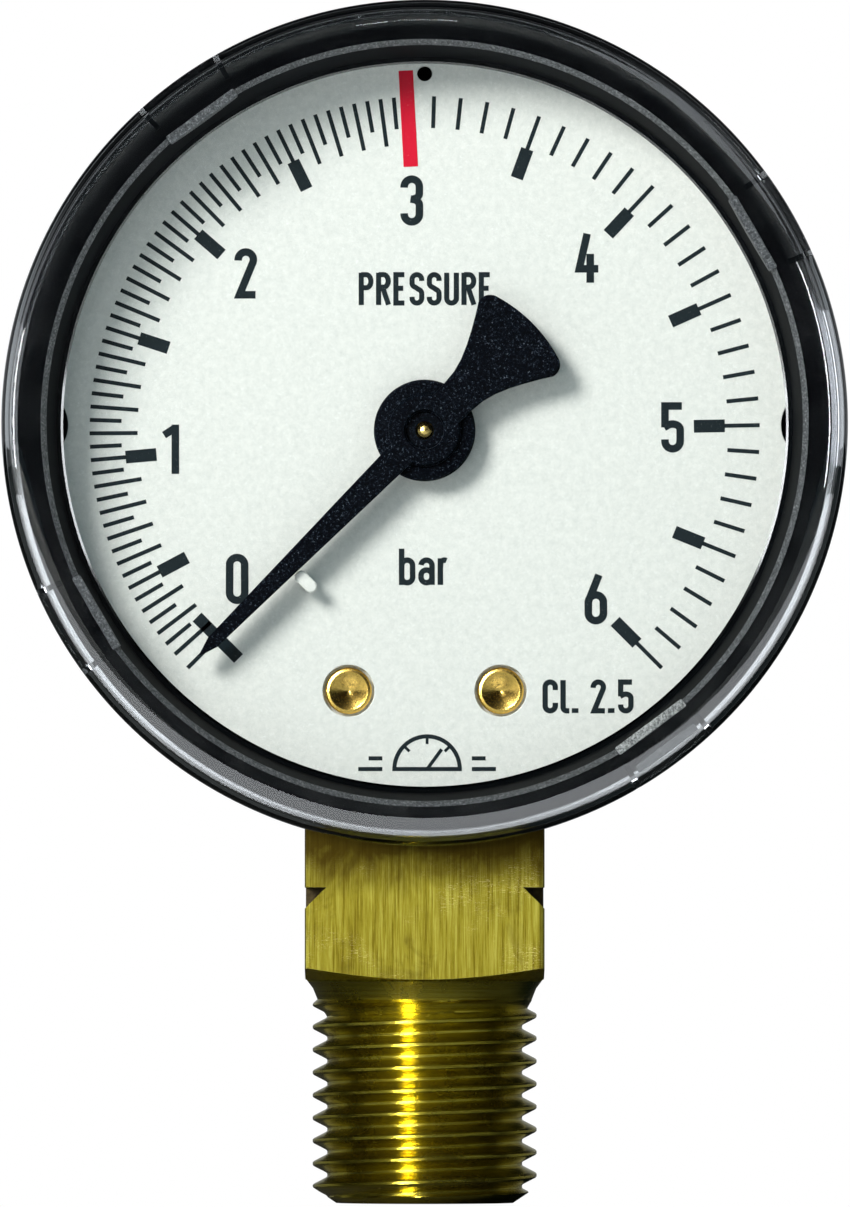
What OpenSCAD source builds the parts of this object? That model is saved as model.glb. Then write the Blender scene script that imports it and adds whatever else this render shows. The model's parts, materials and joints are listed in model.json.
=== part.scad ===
// Bourdon tube pressure gauge with a connection at the bottom.
// Millimetres. +Z runs up the stem and the dial faces -Y. The origin is the centre of the
// stem's lower end face, and the pointer turns about the line x = 0, z = axis_h.
// Angles on the dial run clockwise from the top, as seen from the front.

/* [Gauge] */
// Outside diameter of the window, the gauge's nominal size
window_d = 49; // [48.8:0.1:49.4]
// Height of the pointer's axis above the end of the stem
axis_h = 45; // [44.8:0.1:45.2]
// Height of the case's centre above the pointer's axis
case_rise = 0.35; // [0:0.05:0.5]
// Depth of the case behind the stem's axis
back_y = 10; // [9.8:0.1:12]

/* [Stem] */
// Width across the flats of the spanner square
square_w = 14; // [13.9:0.1:14.1]
// Outside diameter of the G 1/4 B thread
thread_d = 13.157; // [12.9:0.001:13.157]
// Distance from one thread crest to the next
thread_pitch = 1.337; // [1.3:0.001:1.35]
// Depth of the thread, from crest to root
thread_depth = 0.856; // [0.6:0.001:0.9]
// Diameter of the pressure port's mouth
port_d = 5.2; // [4:0.1:6]
// Depth of the pressure port's mouth
port_depth = 9; // [6:0.5:12]
// Diameter of the duct above the port
duct_d = 2.2; // [1.6:0.1:2.4]

/* [Dial] */
// Diameter of the dial
dial_d = 42.3; // [42:0.1:42.5]
// Distance of the two rivets from the middle
rivet_x = 4.42; // [4.3:0.01:4.5]
// Distance of the rivets below the pointer's axis
rivet_drop = 15.1; // [15:0.1:15.3]

/* [Pointer] */
// Length of the pointer from its axis to its point
pointer_len = 18.6; // [18:0.1:19.2]
// Diameter of the pointer's hub
hub_d = 5.9; // [5:0.1:6.4]
// Turn of the pointer over the whole scale
full_turn = 270; // [270:1:270]

/* [Bourdon tube] */
// Radius of the tube's centre line
tube_r = 17.5; // [17.4:0.1:17.6]
// Thickness of the flattened tube, towards the middle
tube_w = 1.9; // [1.8:0.1:2]
// Depth of the flattened tube, along the pointer's axis
tube_depth = 5.2; // [5:0.1:5.4]
// Wall of the tube
tube_wall = 0.25; // [0.2:0.05:0.3]
// Turn of the tube's free end over the whole scale
tip_turn = 6; // [6:1:6]

/* [Movement] */
// Tooth size: pitch diameter per tooth
gear_module = 0.2; // [0.2:0.01:0.2]
// Teeth on the pinion
pinion_teeth = 10; // [10:1:10]
// Teeth that a full wheel of the sector's size would have
sector_teeth = 100; // [100:1:100]
// Radial clearance between a shaft and its hole
running_gap = 0.03; // [0.02:0.01:0.05]

/* [Hidden] */

$fn = 96;
past = 1; // how far a cut runs past the face it opens
seat_gap = 0.03; // gap round a part that is seated in another

// Depths along Y, front to back
window_y = -17.5;
window_back_y = window_y + 1.4;
skirt_end_y = -11;
rim_y = -15.8;
dial_y = -11.4;
dial_back_y = -10.5;
needle_y = -13.1;
needle_back_y = -12.5;
flange_y = -12.75;
flange_back_y = -12.15;
plate_front = [-10, -9.2];
plate_back = [-5.5, -4.5];
sector_span = [-6.6, -5.8];
link_span = [-5.62, -5.02];
ear_span = [-4.8, -4];
case_floor_y = back_y - 1.8;

// Radii of the window and the case
window_r = window_d / 2;
skirt_in_r = window_r - 0.8;
edge_round = 1.6;
rim_r = window_r - 0.9;
rim_in_r = 21.9;
cup_r = 21.35;
collar_r = window_r - 0.2;
body_r = window_r - 0.9;
body_back_r = window_r - 1.3;
back_round = 1.6;
groove_r = rim_r - 0.7;
bead_r = groove_r + 0.15;
lug_angles = [143.4, 60, -36, -120];
lug_half_angle = 6.2;

// Heights on the stem
stem_end_r = 5.2;
first_crest_z = 1;
crest_count = 9;
crest_w = 0.2;
thread_r = thread_d / 2;
neck_r = [6.3, 6.56];
neck_z = [11.9, 12.6];
shoulder_z = 13.1;
bevel_z = 13.8;
block_top_z = 31.5;
half_square = square_w / 2;
shoulder_r = half_square - 0.06;
corner_r = half_square * 1.43;
tongue_half_w = 6;
tongue_top_z = 42;
tongue_back_y = -1.9;
notch_top_z = 18.5;
notch_depth = 1.25;
notch_end_y = 3;

// Movement. The tip of the tube turns about tip_pivot as the tube opens. The link carries
// that travel to the sector's tail, and the sector turns the pinion.
axis_p = [0, axis_h];
case_p = [0, axis_h + case_rise];
tube_start = -165;
tube_end = 116;
sector_turn = full_turn * pinion_teeth / sector_teeth;
pinion_r = gear_module * pinion_teeth / 2;
sector_r = gear_module * sector_teeth / 2;
tip_pivot = axis_p + [-1.76, 4.78];
ear_hole = dial_point(14.6, 120);
ear_arm = ear_hole - tip_pivot;
ear_mid = tip_pivot + spun(ear_arm, tip_turn / 2);
arm_dir = spun(ear_arm, tip_turn / 2) / norm(ear_arm);
link_dir = spun(arm_dir, 90);
tail_len = norm(ear_arm) * sin(tip_turn / 2) / sin(sector_turn / 2);
// Half way, the tail stands at right angles to the link, and the sector's pivot is one
// centre distance from the pinion. That fixes the link's length and the pivot.
centre_dist = pinion_r + sector_r;
reach = ear_mid - tail_len * arm_dir - axis_p;
along = reach * link_dir;
link_len = along + sqrt(along * along - reach * reach + centre_dist * centre_dist);
sector_pivot = axis_p + reach - link_len * link_dir;
tail_pin = sector_pivot + tail_len * spun(arm_dir, -sector_turn / 2);
mesh_angle = atan2(axis_h - sector_pivot[1], -sector_pivot[0]);
tooth_angle = 360 / sector_teeth;
pin_r = 0.5;
link_slack = 0.13;
pillar_points = [[-8.5, 35], [9.6, 40.8], [-3, 51]];
tongue_screw_points = [[-4.2, 35.6], [-0.6, 39.8]];
shaft_r = 0.8;
front_pivot_r = 0.6;
back_pivot_r = 0.45;
collet_r = 1.4;
spring_turns = 5;
spring_out_r = 4.6;
stud_angle = -60;
stud_reach = 5.2;
rest_angle = -full_turn / 2;
stop_reach = 11.08;
case_screw_x = 4.2;
case_screw_z = 26;

// Point on the face at radius r and dial angle a, as [x, z]
function dial_point(r, a) = [r * sin(a), axis_h + r * cos(a)];
// Vector v turned anticlockwise by angle a, as seen from the front
function spun(v, a) = [v[0] * cos(a) - v[1] * sin(a), v[0] * sin(a) + v[1] * cos(a)];
function polar(r, a) = [r * cos(a), r * sin(a)];

// An upright outline, seen from the front, made solid between two depths
module slab(front, back) {
    translate([0, back, 0]) rotate([90, 0, 0]) linear_extrude(back - front) children();
}

// A round bar along Y through point p
module bar_y(p, r, front, back) {
    translate([p[0], front, p[1]]) rotate([-90, 0, 0]) cylinder(r = r, h = back - front);
}

// An outline of [radius, y] turned about the line along Y through point p
module turned(p) {
    translate([p[0], 0, p[1]]) rotate([-90, 0, 0]) rotate_extrude() children();
}

// The same, from dial angle a to dial angle b
module swept(p, a, b) {
    translate([p[0], 0, p[1]]) rotate([-90, 0, 0]) rotate([0, 0, a - 90])
        rotate_extrude(angle = b - a) children();
}

// Children moved to the case's axis, with +Z pointing outwards at dial angle a
module at_case_angle(a) {
    translate([0, 0, case_p[1]]) rotate([0, a, 0]) children();
}

// A straight bar between two points
module arm(a, b, half_w) {
    translate(a) rotate(atan2(b[1] - a[1], b[0] - a[0])) translate([0, -half_w])
        square([norm(b - a), 2 * half_w]);
}

// A bar with round ends between two points
module strip(a, b, r, half_w) {
    translate(a) circle(r);
    translate(b) circle(r);
    arm(a, b, half_w);
}

// The flattened section of the tube, grown by g
module tube_section(g) {
    w = tube_w + 2 * g;
    flat = tube_depth - tube_w;
    translate([tube_r, 0]) {
        square([w, flat], center = true);
        for (s = [-1, 1]) translate([0, s * flat / 2]) circle(d = w);
    }
}

module thread_outline() {
    flank = (thread_pitch - 2 * crest_w) / 2;
    root_r = thread_r - thread_depth;
    crests = [for (k = [0 : crest_count - 1]) first_crest_z + k * thread_pitch];
    threads = [for (z = crests, q = [
        [root_r, z - crest_w / 2 - flank], [thread_r, z - crest_w / 2],
        [thread_r, z + crest_w / 2], [root_r, z + crest_w / 2 + flank]]) q];
    last = len(threads) - 1;
    polygon(concat(
        [[0, 0], [stem_end_r, 0]],
        [for (i = [1 : last - 1]) threads[i]],
        [[neck_r[0], neck_z[0]], [neck_r[1], neck_z[1]], [shoulder_r, shoulder_z],
         [corner_r, bevel_z], [corner_r, block_top_z], [0, block_top_z]]));
}

module stem() {
    color([0.72, 0.62, 0.22]) difference() {
        union() {
            intersection() {
                rotate_extrude() thread_outline();
                translate([-half_square, -half_square, 0])
                    cube([square_w, square_w, block_top_z]);
            }
            translate([-tongue_half_w, plate_back[1], block_top_z - past])
                cube([2 * tongue_half_w, tongue_back_y - plate_back[1],
                      tongue_top_z - block_top_z + past]);
        }
        translate([0, 0, -past]) cylinder(d = port_d, h = port_depth + past);
        translate([0, 0, port_depth - past])
            cylinder(d = duct_d, h = case_screw_z + 2.6 - port_depth + past);
        // passage from the duct to the tube
        translate([0, 0, case_screw_z + 1.6]) rotate([0, -86, 0]) cylinder(r = 0.7, h = 4.4);
        // pocket that the fixed end of the tube is soldered in
        swept(axis_p, tube_start, tube_start + 20) tube_section(seat_gap);
        for (s = [-1, 1]) {
            bar_y([s * rivet_x, axis_h - rivet_drop], 1, -half_square - past, -3.2);
            bar_y([s * case_screw_x, case_screw_z], 1.23, 3, half_square + past);
            slab(-half_square - past, notch_end_y)
                polygon([[s * (half_square - notch_depth), notch_top_z],
                         [s * (half_square + past), notch_top_z],
                         [s * (half_square + past), notch_top_z - notch_depth - past]]);
        }
        for (p = tongue_screw_points)
            bar_y(p, 0.83, plate_back[1] - past, tongue_back_y + past);
    }
}

// Outline of the case as [radius, y]
module case_outline() {
    difference() {
        union() {
            polygon([[0, rim_y], [rim_r, rim_y], [rim_r, skirt_end_y + 0.2],
                     [collar_r, skirt_end_y + 0.2], [collar_r, skirt_end_y + 2.2],
                     [body_r, skirt_end_y + 2.6], [body_back_r, back_y - back_round],
                     [0, back_y - back_round]]);
            translate([0, back_y - back_round - past])
                square([body_back_r - back_round, back_round + past]);
            translate([body_back_r - back_round, back_y - back_round]) circle(back_round);
        }
        polygon([[-past, rim_y - past], [rim_in_r + 0.3, rim_y - past], [rim_in_r + 0.3, rim_y],
                 [rim_in_r, rim_y + 0.35], [cup_r, dial_y], [cup_r - 0.3, case_floor_y],
                 [-past, case_floor_y]]);
        translate([groove_r, -12.9]) square([past, 1.5]);
        translate([-2 * past, rim_y - past]) square([2 * past, back_y - rim_y + 2 * past]);
    }
}

module case() {
    color([0.05, 0.05, 0.055]) difference() {
        union() {
            turned(case_p) case_outline();
            // flat pads inside the rim, where the window's tongues hold
            for (a = lug_angles) at_case_angle(a)
                translate([-2.4, rim_y + 0.2, rim_in_r - 0.25]) cube([4.8, 3.8, 0.9]);
            for (s = [-1, 1])
                bar_y([s * case_screw_x, case_screw_z], 2.6, half_square + seat_gap,
                      case_floor_y + past);
        }
        // opening that the square of the stem comes out of
        translate([-half_square - seat_gap, -half_square - seat_gap, axis_h - window_r - past])
            cube([square_w + 2 * seat_gap, square_w + 2 * seat_gap, 8.5]);
        for (s = [-1, 1]) {
            bar_y([s * case_screw_x, case_screw_z], 1.3, half_square - past, back_y + past);
            bar_y([s * case_screw_x, case_screw_z], 2.1, back_y - 1.6, back_y + past);
        }
    }
}

module window() {
    slit_w = 0.35;
    color([0.8, 0.85, 0.88, 0.35]) difference() {
        union() {
            turned(case_p) {
                edge = [window_r - edge_round, window_y + edge_round];
                polygon(concat(
                    [[0, window_y]],
                    [for (a = [-90 : 7.5 : 0]) edge + polar(edge_round, a)],
                    [[window_r, skirt_end_y], [skirt_in_r, skirt_end_y],
                     [skirt_in_r, window_back_y], [0, window_back_y]]));
            }
            // beads that snap into the groove of the case
            for (a = lug_angles) swept(case_p, a - lug_half_angle, a + lug_half_angle)
                translate([bead_r, -12.6]) square([skirt_in_r - bead_r + 0.2, 0.9]);
        }
        // slits on both sides of each snap tongue
        for (a = lug_angles, s = [-1, 1]) at_case_angle(a + s * lug_half_angle)
            translate([-slit_w / 2, window_back_y + 0.3, skirt_in_r - 0.8])
                cube([slit_w, skirt_end_y - window_back_y, 2.5]);
    }
}

module dial() {
    notch_reach = 22.8;
    notch_r = 2.07;
    needle_edge = 0.62;
    stop_far = 2.1;
    stop_w = 0.75;
    color([0.93, 0.94, 0.93]) {
        difference() {
            union() {
                bar_y(case_p, dial_d / 2, dial_y, dial_back_y);
                for (s = [-1, 1])
                    bar_y([s * rivet_x, axis_h - rivet_drop], 2.1, dial_back_y,
                          -half_square - seat_gap);
            }
            bar_y(axis_p, 1.6, dial_y - past, dial_back_y + past);
            bar_y(case_p + [0, 20.45], 0.44, dial_y - past, dial_back_y + past);
            for (s = [-1, 1]) {
                bar_y(case_p + [s * notch_reach, 0], notch_r, dial_y - past, dial_back_y + past);
                bar_y([s * rivet_x, axis_h - rivet_drop], 1.5, dial_y - past, dial_y + 0.6);
                bar_y([s * rivet_x, axis_h - rivet_drop], 1, dial_y - past, 0);
            }
        }
        // stop pin beside the pointer at rest
        translate([0, 0, axis_h]) rotate([0, rest_angle, 0])
            slab(needle_y - 0.3, dial_y + 0.1)
                strip([-needle_edge - stop_w / 2, stop_reach], [-stop_far + stop_w / 2, stop_reach],
                      stop_w / 2, stop_w / 2);
    }
}

module dial_rivets() {
    color([0.72, 0.58, 0.25])
        for (s = [-1, 1]) turned([s * rivet_x, axis_h - rivet_drop]) polygon([
            [0, dial_y + 0.5], [0.25, dial_y + 0.45], [1.1, dial_y + 0.1], [1.35, dial_y + 0.15],
            [1.35, dial_y + 0.57], [0.97, dial_y + 0.57], [0.97, -3.5], [0, -3.5]]);
}

// Pointer pointing up, about the origin, seen from the front
module needle_outline() {
    root_half = 0.87;
    tip_half = 0.38;
    taper_end = pointer_len - 1.2;
    // the counterweight widens to a fan with round corners
    tail_side = [[1.1, -1], [1.16, -3.4], [1.62, -4.9], [2.28, -6.2], [2.8, -7.1]];
    fan_r = 8.82;
    corner_round = 0.75;
    corner_at = 16.9;
    corner = polar(fan_r - corner_round, corner_at - 90);
    fan_right = concat(tail_side,
        [for (a = [0 : -18 : -54]) corner + polar(corner_round, a)],
        [for (a = [corner_at : -3.5 : 0]) polar(fan_r, a - 90)]);
    fan_left = [for (i = [len(fan_right) - 2 : -1 : 0]) [-fan_right[i][0], fan_right[i][1]]];
    circle(1.4);
    polygon([[-root_half, 0], [-tip_half, taper_end], [0, pointer_len], [tip_half, taper_end],
             [root_half, 0]]);
    polygon(concat(fan_right, fan_left));
}

module pointer() {
    color([0.06, 0.07, 0.075]) difference() {
        union() {
            slab(needle_y, needle_back_y) translate([0, axis_h]) rotate(-rest_angle)
                needle_outline();
            turned(axis_p) polygon([
                [0, needle_y], [1.95, needle_y], [2.1, needle_y + 0.12], [2.15, flange_y],
                [hub_d / 2 - 0.2, flange_y], [hub_d / 2, flange_y + 0.2], [hub_d / 2, flange_back_y],
                [1.3, flange_back_y], [1.3, -11.9], [0, -11.9]]);
        }
        bar_y(axis_p, 1.1, needle_y - past, flange_y);
        bar_y(axis_p, 0.5 + seat_gap, needle_y - past, 0);
    }
}

module pinion_shaft() {
    root_r = 0.74;
    tip_r = 1.13;
    color([0.78, 0.66, 0.32]) {
        turned(axis_p) polygon([
            [0, needle_y + 0.08], [0.25, needle_y + 0.12], [0.4, needle_y + 0.24],
            [0.46, needle_y + 0.45], [0.5, needle_y + 0.8], [0.5, -11.7],
            [front_pivot_r, -11.5], [front_pivot_r, plate_front[1] + 0.05],
            [shaft_r, plate_front[1] + 0.05], [shaft_r, -7.1], [root_r, -7.1],
            [root_r, plate_back[0] - 0.1], [back_pivot_r, plate_back[0] - 0.1],
            [back_pivot_r, -4.3], [0, -4.3]]);
        slab(-7, -5.65) translate(axis_p) for (k = [0 : pinion_teeth - 1])
            rotate(mesh_angle + 180 + (k + 0.5) * 360 / pinion_teeth)
                polygon([[0.5, -0.17], [root_r, -0.17], [pinion_r, -0.11], [tip_r, -0.06],
                         [tip_r, 0.06], [pinion_r, 0.11], [root_r, 0.17], [0.5, 0.17]]);
    }
}

module bourdon_tube() {
    color([0.66, 0.45, 0.22]) swept(axis_p, tube_start, tube_end) difference() {
        tube_section(0);
        tube_section(-tube_wall);
    }
}

module tube_tip() {
    color([0.7, 0.58, 0.28]) difference() {
        union() {
            swept(axis_p, tube_end - 2.5, tube_end + 5)
                translate([tube_r - 1.35, ear_span[0]]) square([2.7, 3.1 - ear_span[0]]);
            slab(ear_span[0], ear_span[1]) strip(ear_hole, dial_point(tube_r - 0.4, 119), 1.15, 1.15);
        }
        swept(axis_p, tube_end - 3.5, tube_end + 0.2) tube_section(seat_gap);
        bar_y(ear_hole, pin_r + 0.02, ear_span[0] - past, ear_span[1] + past);
    }
}

module tip_pin() {
    color([0.6, 0.6, 0.62]) {
        bar_y(ear_hole, pin_r, link_span[0] - 0.05, ear_span[1]);
        bar_y(ear_hole, 0.85, link_span[0] - 0.4, link_span[0] - 0.03);
    }
}

module link() {
    color([0.75, 0.64, 0.33]) slab(link_span[0], link_span[1]) difference() {
        strip(ear_hole, tail_pin, 1, 0.55);
        translate(ear_hole) circle(pin_r + running_gap);
        translate(tail_pin) circle(pin_r + link_slack);
    }
}

module link_pin() {
    color([0.6, 0.6, 0.62]) {
        bar_y(tail_pin, pin_r, sector_span[0], link_span[1] + 0.1);
        bar_y(tail_pin, 0.8, sector_span[0] - 0.4, sector_span[0]);
    }
}

module sector_gear() {
    root_r = sector_r - 0.28;
    tip_r = sector_r + 0.14;
    first_tooth = -2;
    last_tooth = 9;
    edge = 1.9;
    from = (first_tooth - 0.5) * tooth_angle;
    to = (last_tooth + 0.5) * tooth_angle;
    hub_r = 1.9;
    color([0.75, 0.64, 0.33]) slab(sector_span[0], sector_span[1]) difference() {
        union() {
            translate(sector_pivot) {
                circle(hub_r);
                rotate(mesh_angle) {
                    intersection() {
                        circle(root_r, $fn = 200);
                        polygon([[0, 0], polar(2 * sector_r, -from), polar(2 * sector_r, -(from + to) / 2),
                                 polar(2 * sector_r, -to)]);
                    }
                    for (k = [first_tooth : last_tooth]) rotate(-k * tooth_angle)
                        polygon([[root_r - 0.3, -0.16], [root_r, -0.16], [sector_r, -0.11],
                                 [tip_r, -0.06], [tip_r, 0.06], [sector_r, 0.11],
                                 [root_r, 0.16], [root_r - 0.3, 0.16]]);
                }
            }
            strip(sector_pivot, tail_pin, 1.05, 0.9);
        }
        // window that lightens the sector
        translate(sector_pivot) rotate(mesh_angle) intersection() {
            difference() {
                circle(root_r - edge);
                circle(hub_r + 1.1);
            }
            polygon([[0, 0], polar(2 * sector_r, -from - 9), polar(2 * sector_r, -(from + to) / 2),
                     polar(2 * sector_r, -to + 9)]);
        }
        translate(sector_pivot) circle(shaft_r + seat_gap);
        translate(tail_pin) circle(pin_r + 0.02);
    }
}

// A shaft with a pivot at each end, held between the two plates
module sector_arbor() {
    color([0.6, 0.6, 0.62]) turned(sector_pivot) polygon([
        [0, plate_front[0] + 0.1], [back_pivot_r, plate_front[0] + 0.1],
        [back_pivot_r, plate_front[1] + 0.1], [shaft_r, plate_front[1] + 0.1],
        [shaft_r, plate_back[0] - 0.1], [back_pivot_r, plate_back[0] - 0.1],
        [back_pivot_r, plate_back[1] - 0.05], [0, plate_back[1] - 0.05]]);
}

// Outline that both plates share: a convex plate with round corners over its corner points
module plate_outline() {
    corner_round = 1.9;
    corners = [pillar_points[0], sector_pivot, pillar_points[1], pillar_points[2]];
    count = len(corners);
    polygon([for (i = [0 : count - 1])
        let (before = corners[i] - corners[(i + count - 1) % count],
             after = corners[(i + 1) % count] - corners[i],
             a = atan2(before[1], before[0]) - 90,
             b = atan2(after[1], after[0]) - 90,
             bend = (b - a + 720) % 360)
        for (t = [0 : 0.1 : 1]) corners[i] + polar(corner_round, a + t * bend)]);
}

module movement_back_plate() {
    color([0.74, 0.62, 0.3]) slab(plate_back[0], plate_back[1]) difference() {
        plate_outline();
        translate(axis_p) circle(back_pivot_r + running_gap);
        translate(sector_pivot) circle(back_pivot_r + running_gap);
        translate(dial_point(stud_reach, stud_angle)) circle(0.5);
        for (p = pillar_points) translate(p) circle(0.6 + seat_gap);
        for (p = tongue_screw_points) translate(p) circle(0.8);
    }
}

module movement_front_plate() {
    color([0.74, 0.62, 0.3]) slab(plate_front[0], plate_front[1]) difference() {
        plate_outline();
        translate(axis_p) circle(front_pivot_r + running_gap);
        translate(sector_pivot) circle(back_pivot_r + running_gap);
        for (p = pillar_points) translate(p) circle(0.55);
    }
}

module plate_pillars() {
    color([0.76, 0.65, 0.34]) for (p = pillar_points) difference() {
        union() {
            bar_y(p, 1.1, plate_front[1], plate_back[0]);
            bar_y(p, 0.6, plate_back[0] - 0.1, plate_back[1]);
        }
        bar_y(p, 0.53, plate_front[1] - past, -7.2);
    }
}

module plate_screws() {
    color([0.62, 0.62, 0.64]) for (p = pillar_points) difference() {
        union() {
            bar_y(p, 0.95, plate_front[0] - 0.38, plate_front[0]);
            bar_y(p, 0.5, plate_front[0] - 0.1, -7.4);
        }
        translate([p[0] - past, plate_front[0] - 0.38 - past, p[1] - 0.12])
            cube([2 * past, 0.2 + past, 0.24]);
    }
}

module movement_screws() {
    color([0.62, 0.62, 0.64]) for (p = tongue_screw_points) difference() {
        union() {
            bar_y(p, 1.5, tongue_back_y, tongue_back_y + 0.9);
            bar_y(p, 0.78, plate_back[0] + 0.1, tongue_back_y + 0.1);
        }
        translate([p[0] - 2, tongue_back_y + 0.5, p[1] - 0.2]) cube([4, past, 0.4]);
    }
}

module hairspring() {
    steps = 24;
    half_t = 0.05;
    inner = collet_r - 0.05;
    growth = (spring_out_r - inner) / (spring_turns * steps);
    count = spring_turns * steps;
    edge_in = [for (i = [0 : count]) polar(inner - half_t + growth * i, i * 360 / steps)];
    edge_out = [for (i = [count : -1 : 0]) polar(inner + half_t + growth * i, i * 360 / steps)];
    // the outer end runs out straight to the stud
    end_x = stud_reach - 0.36;
    end_w = 0.1;
    run_out = [[spring_out_r - half_t, end_w], [end_x, end_w], [end_x, 0]];
    color([0.55, 0.57, 0.62]) slab(-8.6, -8.2) translate(axis_p) rotate(90 - stud_angle)
        polygon(concat(edge_in, run_out, edge_out));
}

module hairspring_collet() {
    color([0.78, 0.66, 0.32]) turned(axis_p) polygon([
        [shaft_r + seat_gap / 3, -8.9], [collet_r - 0.2, -8.9], [collet_r - 0.2, -8.65],
        [collet_r - 0.12, -8.65], [collet_r - 0.12, -8.15], [collet_r, -8.15],
        [collet_r, -7.6], [shaft_r + seat_gap / 3, -7.6]]);
}

module hairspring_stud() {
    color([0.6, 0.6, 0.62]) {
        bar_y(dial_point(stud_reach, stud_angle), 0.38, -8.95, plate_back[0]);
        bar_y(dial_point(stud_reach, stud_angle), 0.48, plate_back[0], plate_back[1]);
    }
}

module case_screws() {
    head_y = back_y - 0.4;
    color([0.65, 0.65, 0.67]) for (s = [-1, 1]) difference() {
        union() {
            bar_y([s * case_screw_x, case_screw_z], 2, back_y - 1.58, head_y);
            bar_y([s * case_screw_x, case_screw_z], 1.2, 3.2, back_y - 1.5);
        }
        for (turn = [0, 90]) translate([s * case_screw_x, head_y, case_screw_z])
            rotate([0, turn + 20, 0]) translate([-1.2, -0.7, -0.22]) cube([2.4, past, 0.44]);
    }
}

stem();
case();
window();
dial();
dial_rivets();
pointer();
pinion_shaft();
bourdon_tube();
tube_tip();
tip_pin();
link();
link_pin();
sector_gear();
sector_arbor();
movement_back_plate();
movement_front_plate();
plate_pillars();
plate_screws();
movement_screws();
hairspring();
hairspring_collet();
hairspring_stud();
case_screws();
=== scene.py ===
"""Looks of the bottom-connection pressure gauge, built round the CAD frame.

Outlines are drawn in millimetres in the frame's own axes: +X right, +Z up, the dial facing -Y.
Dial angles run clockwise from the top, as seen from the front. Meshes are scaled to metres when
they become pieces.
"""

import json
from math import acos, atan2, ceil, cos, degrees, dist, hypot, pi, radians, sin, sqrt, tan

import bmesh
import bpy
from mathutils import Matrix, Vector
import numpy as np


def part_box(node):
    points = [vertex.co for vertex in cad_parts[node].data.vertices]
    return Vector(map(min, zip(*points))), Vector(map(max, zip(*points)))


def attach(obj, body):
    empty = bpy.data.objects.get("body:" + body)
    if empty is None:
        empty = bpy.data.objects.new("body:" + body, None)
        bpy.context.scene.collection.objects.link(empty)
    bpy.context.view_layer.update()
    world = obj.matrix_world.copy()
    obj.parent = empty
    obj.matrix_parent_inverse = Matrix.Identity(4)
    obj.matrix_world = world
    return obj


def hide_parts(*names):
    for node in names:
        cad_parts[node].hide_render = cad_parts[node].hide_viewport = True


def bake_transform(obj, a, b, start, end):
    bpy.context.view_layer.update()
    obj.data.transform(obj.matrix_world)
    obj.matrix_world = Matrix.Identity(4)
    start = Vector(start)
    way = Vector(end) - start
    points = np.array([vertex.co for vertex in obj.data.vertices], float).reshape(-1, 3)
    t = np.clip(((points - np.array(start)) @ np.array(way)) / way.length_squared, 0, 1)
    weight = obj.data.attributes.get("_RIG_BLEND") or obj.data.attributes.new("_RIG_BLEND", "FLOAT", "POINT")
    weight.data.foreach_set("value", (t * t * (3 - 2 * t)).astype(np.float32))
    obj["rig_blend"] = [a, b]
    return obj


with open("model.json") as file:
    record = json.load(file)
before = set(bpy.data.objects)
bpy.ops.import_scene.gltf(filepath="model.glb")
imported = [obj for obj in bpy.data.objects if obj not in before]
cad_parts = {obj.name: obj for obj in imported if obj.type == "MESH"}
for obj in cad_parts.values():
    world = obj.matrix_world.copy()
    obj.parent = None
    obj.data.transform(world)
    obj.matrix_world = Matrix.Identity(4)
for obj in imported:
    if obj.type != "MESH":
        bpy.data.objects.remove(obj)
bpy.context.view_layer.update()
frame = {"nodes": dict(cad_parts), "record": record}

MM = 0.001
TAU = 2 * pi
JOINTS = {j["name"]: j for j in frame["record"]["behaviour"]["joints"]}


# ---- places taken from the frame

def put(name, data):
    """A new object of this data, in the scene."""
    obj = bpy.data.objects.new(name, data)
    bpy.context.scene.collection.objects.link(obj)
    return obj


def box_mm(node):
    """Lowest and highest corner of a CAD node, in millimetres."""
    low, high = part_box(node)
    return [v / MM for v in low], [v / MM for v in high]


def middle_mm(node):
    """(x, z) of the middle of a CAD node's box, in millimetres."""
    low, high = box_mm(node)
    return (low[0] + high[0]) / 2, (low[2] + high[2]) / 2


def joint_mm(name):
    """(x, z) of a hinge that turns about Y, in millimetres."""
    x, _, z = JOINTS[name]["pos_m"]
    return x / MM, z / MM


AXIS = joint_mm("pointer_turn")
FULL_TURN = JOINTS["pointer_turn"]["range_deg"][1]
WINDOW_LOW, WINDOW_HIGH = box_mm("window")
CASE_LOW, CASE_HIGH = box_mm("case")
DIAL_LOW, DIAL_HIGH = box_mm("dial")
STEM_HIGH = box_mm("stem")[1]
CENTRE = middle_mm("window")
WINDOW_R = (WINDOW_HIGH[0] - WINDOW_LOW[0]) / 2
WINDOW_Y = WINDOW_LOW[1]
SKIRT_END_Y = WINDOW_HIGH[1]
RIM_Y = CASE_LOW[1]
BACK_Y = CASE_HIGH[1]
SQUARE_HALF = STEM_HIGH[0]
DIAL_R = (DIAL_HIGH[2] - DIAL_LOW[2]) / 2
DIAL_Y = box_mm("dial_rivets")[0][1] - 0.1
POINTER_LOW, POINTER_HIGH = box_mm("pointer")


def on_dial(radius, angle, centre=AXIS):
    """(x, z) at a radius and a dial angle in degrees."""
    a = radians(angle)
    return centre[0] + radius * sin(a), centre[1] + radius * cos(a)


def dial_angle(x, z, centre=AXIS):
    return degrees(atan2(x - centre[0], z - centre[1]))


def reach(x, z, centre=AXIS):
    return hypot(x - centre[0], z - centre[1])


# ---- mesh helpers, in millimetres

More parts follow.
